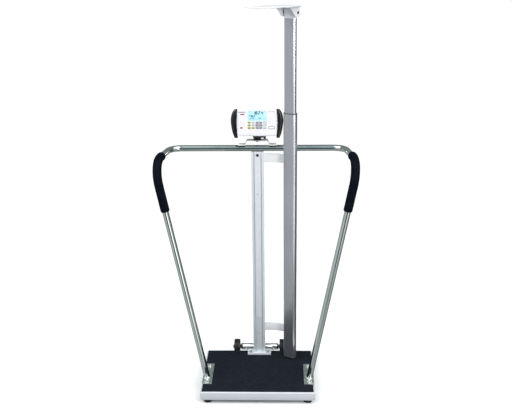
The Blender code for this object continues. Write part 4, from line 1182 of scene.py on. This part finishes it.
def build_yoke():
    """The bracket under the housing, and the tilt shaft with its lobed knob."""
    under, floor, reach, left, right = BODY_LOW - GAP, -0.0033, 0.0073, -0.0150, 0.0345
    ear_in, ear_out, ear_front = 0.0125, 0.0150, -0.0105
    plate = filleted([(-0.033, floor), (-0.0100, floor), (-0.0100, under), (-0.033, under)], 0.0014)
    parts = [sideways("yoke_plate", [plate], left, right, 0.0006, BLACK_PLASTIC, AT_DISPLAY)]
    slope = (Vector(SLOPE_HEAD) - Vector(SLOPE_FOOT)).normalized()
    rear_start = Vector(SLOPE_FOOT) + Vector((slope.y, -slope.x)) * GAP
    outline = [
        (ear_front, -reach), *arc((0, 0), reach, 270, 420, 16), rear_start + slope * 0.0165,
        rear_start, (ear_front, under),
    ]
    hole = arc((0, 0), SHAFT_RADIUS + GAP, 0, 342, 19)
    for near, far in ((left, -ear_in), (ear_in, ear_out)):
        parts.append(
            sideways("ear", [outline, hole], near, far, 0.0004, BLACK_PLASTIC, AT_DISPLAY)
        )
    settle(united("tilt_bracket", parts), "display", "black_plastic", "display_yoke")
    tip, start, end, radius = left - 0.003, 0.0255, right, 0.010
    place = AT_DISPLAY @ ALONG_X
    profile = [(0.0024, tip), (SHAFT_RADIUS, tip + 0.0006), (SHAFT_RADIUS, start + 0.001)]
    shaft = turned("shaft", profile, ZINC, 32, place)
    profile = [
        (radius * 0.72, start), (radius * 0.92, start + 0.0004), (radius, start + 0.0014),
        (radius, end - 0.0018), (radius * 0.94, end - 0.0006), (radius * 0.74, end),
        (radius * 0.40, end), (radius * 0.34, end - 0.0008),
    ]
    rings, lobes, segments = [], 12, 96
    for r, z in profile:
        depth = 0.035 if r > radius * 0.9 else 0.0
        ring = circle_ring(r, z, segments)
        for i, point in enumerate(ring):
            dip = 1 - depth * (1 - math.cos(2 * math.pi * i * lobes / segments))
            point.x, point.y = point.x * dip, point.y * dip
        rings.append([place @ p for p in ring])
    knob = ring_object("lobes", rings, BLACK_PLASTIC)
    settle(united("lock_knob", [knob, shaft]), "knob", "black_plastic", "tilt_knob")


# ---------------------------------------------------------------- height rod


def build_rod():
    for node, name, section, wall, body in (
        ("rod_outer_tube", "outer_extrusion", ROD_OUTER, 0.002, "scale"),
        ("rod_inner_tube", "inner_extrusion", ROD_INNER, 0.0015, "inner_rod"),
    ):
        loops = [filleted(chamfered(*section), 0.0012, 3), shrunk(section, wall)]
        tube = upright(name, loops, node, 0.0002, ROD_METAL, AT_ROD)
        settle(tube, body, "rod_aluminium", node)
    loops = [filleted(shrunk(ROD_OUTER, -0.0008), 0.0014, 3), shrunk(ROD_INNER, -0.0005)]
    collar = upright("wiper_collar", loops, "rod_collar", 0.0009, COLLAR_PLASTIC, AT_ROD)
    settle(collar, "scale", "black_plastic", "rod_collar")
    section = chamfered(ROD_OUTER[0] - 0.001, ROD_INNER[1] + 0.002, ROD_INNER[2])
    loops = [filleted(section, 0.0014, 3)]
    plug = upright("plug", loops, "rod_top_cap", 0.0012, WHITE_PLASTIC, AT_ROD)
    skirt_height, skirt_gap, skirt_wall = 0.0275, 0.00015, 0.0007
    outer = filleted(shrunk(ROD_INNER, -skirt_gap - skirt_wall), 0.0012, 3)
    loops = [outer, shrunk(ROD_INNER, -skirt_gap)]
    place = AT_ROD @ shift(0, 0, low("rod_top_cap").z - skirt_height / 2 + 0.001)
    skirt = slab("skirt", loops, skirt_height + 0.002, 0.0002, WHITE_PLASTIC, place)
    settle(united("top_plug", [plug, skirt]), "inner_rod", "white_plastic", "rod_top_cap")


def strap_outline():
    """A rod bracket on plan: a tab on the column's side, an arc, and a tab on the rod."""
    column_y, turn = middle("column_post").y, -ROD_TURN
    corner = Vector((0.025 + GAP + STRAP_THICKNESS / 2, column_y))
    tab = corner - Vector((0, 0.0125 - 0.003))
    face = Vector((math.cos(turn), -math.sin(turn)))
    back = Vector((math.sin(turn), math.cos(turn)))
    axis = ROD_CENTRE.xy + back * (ROD_OUTER[1] / 2 + GAP + STRAP_THICKNESS / 2)
    arrive, end = axis - face * 0.022, axis + face * 0.018
    radius = (column_y - arrive.y) / (1 - math.cos(turn))
    centre = (arrive.x - radius * math.sin(turn), column_y - radius)
    sweep = [Vector(p) for p in arc(centre, radius, 90, 90 - math.degrees(turn), 20)]
    path = [tab, *bend(tab, corner, sweep[0], 0.004, 8), *sweep, end]
    return ribbon(path, STRAP_THICKNESS)


def build_straps():
    for level in ("lower", "upper"):
        node = "rod_bracket_" + level
        strap = upright("strap_" + level, [strap_outline()], node, 0.0007, STRAP_STEEL)
        settle(strap, "scale", "white_steel", node)


def build_head():
    """The folding headpiece: a thin paddle, two cheeks with swept edges, and their pin."""
    thickness, reach, half, corner = 0.005, 0.250, 0.052, 0.020
    cheek_in, cheek_out, cheek_back = 0.0287, 0.0315, 0.0165
    outline = [
        (-cheek_out, 0.018), (-half, -0.012),
        *arc((-half + corner, -reach + corner), corner, 180, 270, 12),
        *arc((half - corner, -reach + corner), corner, 270, 360, 12),
        (half, -0.012), (cheek_out, 0.018),
    ]
    top = UNDER_HEAD + thickness / 2
    place = AT_HEAD @ shift(0, 0, top)
    head = slab("measuring_paddle", [outline], thickness, 0.0020, WHITE_PLASTIC, place)
    tip, toe, hollow = Vector((-0.0745, top)), Vector((-0.0165, -0.0155)), Vector((0.0045, 0.0050))
    edge = []
    for i in range(12):
        share = i / 12
        sag = hollow * math.sin(math.pi * share) * (1 - 0.6 * share)
        edge.append(tip.lerp(toe, share) + sag)
    heel = arc((0.0115, -0.0105), 0.005, 0, -90, 6)[1:]
    cheek = [(cheek_back, top), (cheek_back, -0.010), *heel, toe, *edge[::-1]]
    hole = arc((0, 0), 0.0028, 0, 342, 19)
    for near, far in ((-cheek_out, -cheek_in), (cheek_in, cheek_out)):
        plate = sideways("cheek", [cheek, hole], near, far, 0.0008, WHITE_PLASTIC, AT_HEAD)
        head = fused(head, plate)
    settle(head, "head", "white_plastic", "headpiece")
    end, shank, rim = cheek_out + GAP, 0.0025, 0.0055
    profile = [
        (0.0024, -end - 0.0018), (0.0048, -end - 0.0016), (rim, -end - 0.0006), (rim, -end),
        (shank, -end), (shank, end), (rim, end), (rim, end + 0.0006), (0.0048, end + 0.0016),
        (0.0024, end + 0.0018), (0.0020, end + 0.0008),
    ]
    pin = turned("hinge_pin", profile, BLACK_PLASTIC, 40, AT_HEAD @ ALONG_X)
    settle(pin, "head", "black_plastic", "head_pin")


# ---------------------------------------------------------------- transport wheels


def build_wheels():
    _, axle_y, axle_z = middle("wheel_axle")
    rod_end = high("wheel_axle").x
    tube_end, tube_radius, end_radius, tyre = rod_end - 0.036, 0.014, 0.005, 0.0125
    half = [
        (end_radius * 0.6, rod_end), (end_radius, rod_end - 0.0008), (end_radius, tube_end),
        (tube_radius - 0.0010, tube_end), (tube_radius, tube_end - 0.0012),
    ]
    place = shift(0, axle_y, axle_z) @ ALONG_X
    axle = turned("axle_tube", both_ends(half), CHROME, 48, place)
    settle(axle, "scale", "chrome", "wheel_axle")
    for side in ("left", "right"):
        node = "wheel_" + side
        radius, hub = extent(node).z / 2, extent(node).x / 2
        half = [
            (0.0053, hub), (0.0062, hub), (0.0085, hub - 0.0006), (0.0090, hub - 0.0016),
            (0.0092, tyre - 0.0045), (0.0110, tyre - 0.0055), (radius - 0.0115, tyre - 0.0055),
            (radius - 0.0100, tyre - 0.0045), (radius - 0.0090, tyre - 0.0010),
            (radius - 0.0075, tyre), (radius - 0.0035, tyre), (radius - 0.0012, tyre - 0.0010),
            (radius - 0.0002, tyre - 0.0032), (radius, tyre - 0.0060), (radius, 0.0016),
            (radius - 0.0007, 0.0008),
        ]
        place = shift(middle(node).x, axle_y, axle_z) @ ALONG_X
        wheel = turned("roller_" + side, both_ends(half), BLACK_RUBBER, 72, place, closed=True)
        settle(wheel, side + "_wheel", "black_rubber", node)
        node = "axle_bracket_" + side
        wall_y, bottom, crop = low(node).y, low(node).z, 0.001
        outline = [
            (wall_y, axle_z), *arc((axle_y, axle_z), tube_radius + GAP, 180, 360, 20),
            *arc((axle_y, axle_z), tube_radius + 0.005, 360, 250, 16),
            (wall_y + crop, bottom), (wall_y, bottom + crop),
        ]
        ear = sideways(
            "axle_ear_" + side, [outline], low(node).x, high(node).x, 0.0005, WHITE_STEEL_PAINTED_SHADE
        )
        settle(ear, "scale", "white_steel", node)


# ---------------------------------------------------------------- CAD nodes that stay

KEPT = {
    "platform_frame": DARK_STEEL, "junction_box": BLACK_PLASTIC, "signal_cable": BLACK_RUBBER,
    "rod_guide_shoe": BLACK_PLASTIC, "main_board": BOARD, "battery_pack": BATTERY_WRAP,
    "load_cell_front_left": CELL_METAL, "load_cell_front_right": CELL_METAL,
    "load_cell_rear_left": CELL_METAL, "load_cell_rear_right": CELL_METAL,
}


def dress_kept_nodes():
    for node, material in KEPT.items():
        NODES[node].data.materials.clear()
        NODES[node].data.materials.append(material)


# ---------------------------------------------------------------- studio

ROOM_GREY = (0.46, 0.50, 0.49)
# Glows in the room: direction, angles where each is full and gone (degrees), and colour.
GLOWS = (
    ((0, 0.6, 1), 35, 75, (0.22, 0.27, 0.26)),
    ((0, -0.75, 0.8), 22, 50, (0.38, 0.49, 0.52)),
    ((-0.75, -0.46, 1.00), 20, 34, (3.2, 3.2, 3.2)),
    ((0.75, -0.42, 1.05), 20, 34, (2.9, 2.9, 2.9)),
    ((0.5, -0.82, -0.20), 7, 16, (2.6, 2.6, 2.6)),
    ((-0.82, -0.52, -0.15), 15, 35, (0.66, 0.68, 0.70)),
    ((0, -1, -0.14), 13, 22, (0.010, 0.022, 0.045)),
    ((0.82, 0.52, -0.2), 22, 42, (0.06, 0.06, 0.075)),
    ((0, 0, -1), 30, 60, (0.40, 0.42, 0.41)),
)


def build_floor():
    """A pale floor that catches shadows, while metal mirrors the grey room in place of it."""
    mesh = bpy.data.meshes.new("studio_floor")
    x, front, rear = 1.7, -1.3, 1.9
    mesh.from_pydata([(-x, front, 0), (x, front, 0), (x, rear, 0), (-x, rear, 0)], [], [(0, 1, 2, 3)])
    material = base_material("floor_paint", (0.86, 0.86, 0.86), 0.85, Specular_IOR_Level=0.1)
    mottle(material, (0.855, 0.855, 0.86), 1.5)
    floor = made("studio_floor", mesh, material)
    floor.visible_glossy = False
    floor.visible_diffuse = False


def build_room():
    """Soft grey light from all round, with brighter and darker glows, and plain white to look at."""
    world = bpy.data.worlds.new("studio")
    world.use_nodes = True
    bpy.context.scene.world = world
    tree = world.node_tree
    link = tree.links.new
    direction = new_node(tree, "TexCoord").outputs["Generated"]
    colour = (*ROOM_GREY, 1)
    for aim, inner, outer, glow in GLOWS:
        dot = new_node(tree, "VectorMath")
        dot.operation = "DOT_PRODUCT"
        dot.inputs[1].default_value = Vector(aim).normalized()
        ends = [math.cos(math.radians(angle)) for angle in (outer, inner)]
        fade = new_node(tree, "MapRange", From_Min=ends[0], From_Max=ends[1])
        fade.interpolation_type = "SMOOTHSTEP"
        link(direction, dot.inputs[0])
        link(dot.outputs["Value"], fade.inputs["Value"])
        colour = mixed(tree, fade.outputs["Result"], colour, glow)
    room = tree.nodes["Background"]
    room.inputs["Strength"].default_value = 1.0
    link(colour, room.inputs["Color"])
    seen = new_node(tree, "Background", Color=(1, 1, 1, 1), Strength=1.05)
    blend = new_node(tree, "MixShader")
    link(new_node(tree, "LightPath").outputs["Is Camera Ray"], blend.inputs["Fac"])
    link(room.outputs["Background"], blend.inputs[1])
    link(seen.outputs["Background"], blend.inputs[2])
    link(blend.outputs["Shader"], tree.nodes["World Output"].inputs["Surface"])


def soft_box(name, position, size, power):
    lamp = bpy.data.lights.new(name, "AREA")
    lamp.shape = "RECTANGLE"
    lamp.size, lamp.size_y = size
    lamp.energy = power
    obj = bpy.data.objects.new(name, lamp)
    bpy.context.scene.collection.objects.link(obj)
    obj.location = position
    aim = Vector((0, 0, 0.9)) - Vector(position)
    obj.rotation_euler = aim.to_track_quat("-Z", "Y").to_euler()


def build_camera():
    """A camera at standing eye height, turned by a heading, a downward pitch and a slight roll."""
    heading, pitch, roll = -0.031864, 0.309541, -0.011119
    forward = Vector((
        math.sin(heading) * math.cos(pitch), math.cos(heading) * math.cos(pitch), -math.sin(pitch)
    ))
    level = Vector((math.cos(heading), -math.sin(heading), 0))
    raised = level.cross(forward)
    right = level * math.cos(roll) + raised * math.sin(roll)
    up = raised * math.cos(roll) - level * math.sin(roll)
    lens = bpy.data.cameras.new("view")
    lens.sensor_width = 36.0
    lens.lens = 58.04
    lens.clip_end = 60.0
    camera = bpy.data.objects.new("view", lens)
    turn = Matrix((right, up, -forward)).transposed().to_4x4()
    camera.matrix_world = shift(0.0947, -3.1086, 1.7538) @ turn
    bpy.context.scene.collection.objects.link(camera)
    bpy.context.scene.camera = camera


build_cover()
build_mat()
build_feet()
build_column()
build_rail()
build_bridge()
build_neck()
build_shells()
build_caps()
build_overlay()
build_lcd()
build_yoke()
build_rod()
build_straps()
build_head()
build_wheels()
dress_kept_nodes()
build_floor()
build_room()
soft_box("key_light", (1.35, -2.0, 1.9), (0.6, 1.2), 30)
soft_box("top_light", (-1.7, -0.6, 3.2), (1.0, 0.9), 16)
build_camera()
bpy.context.scene.view_settings.view_transform = "Standard"
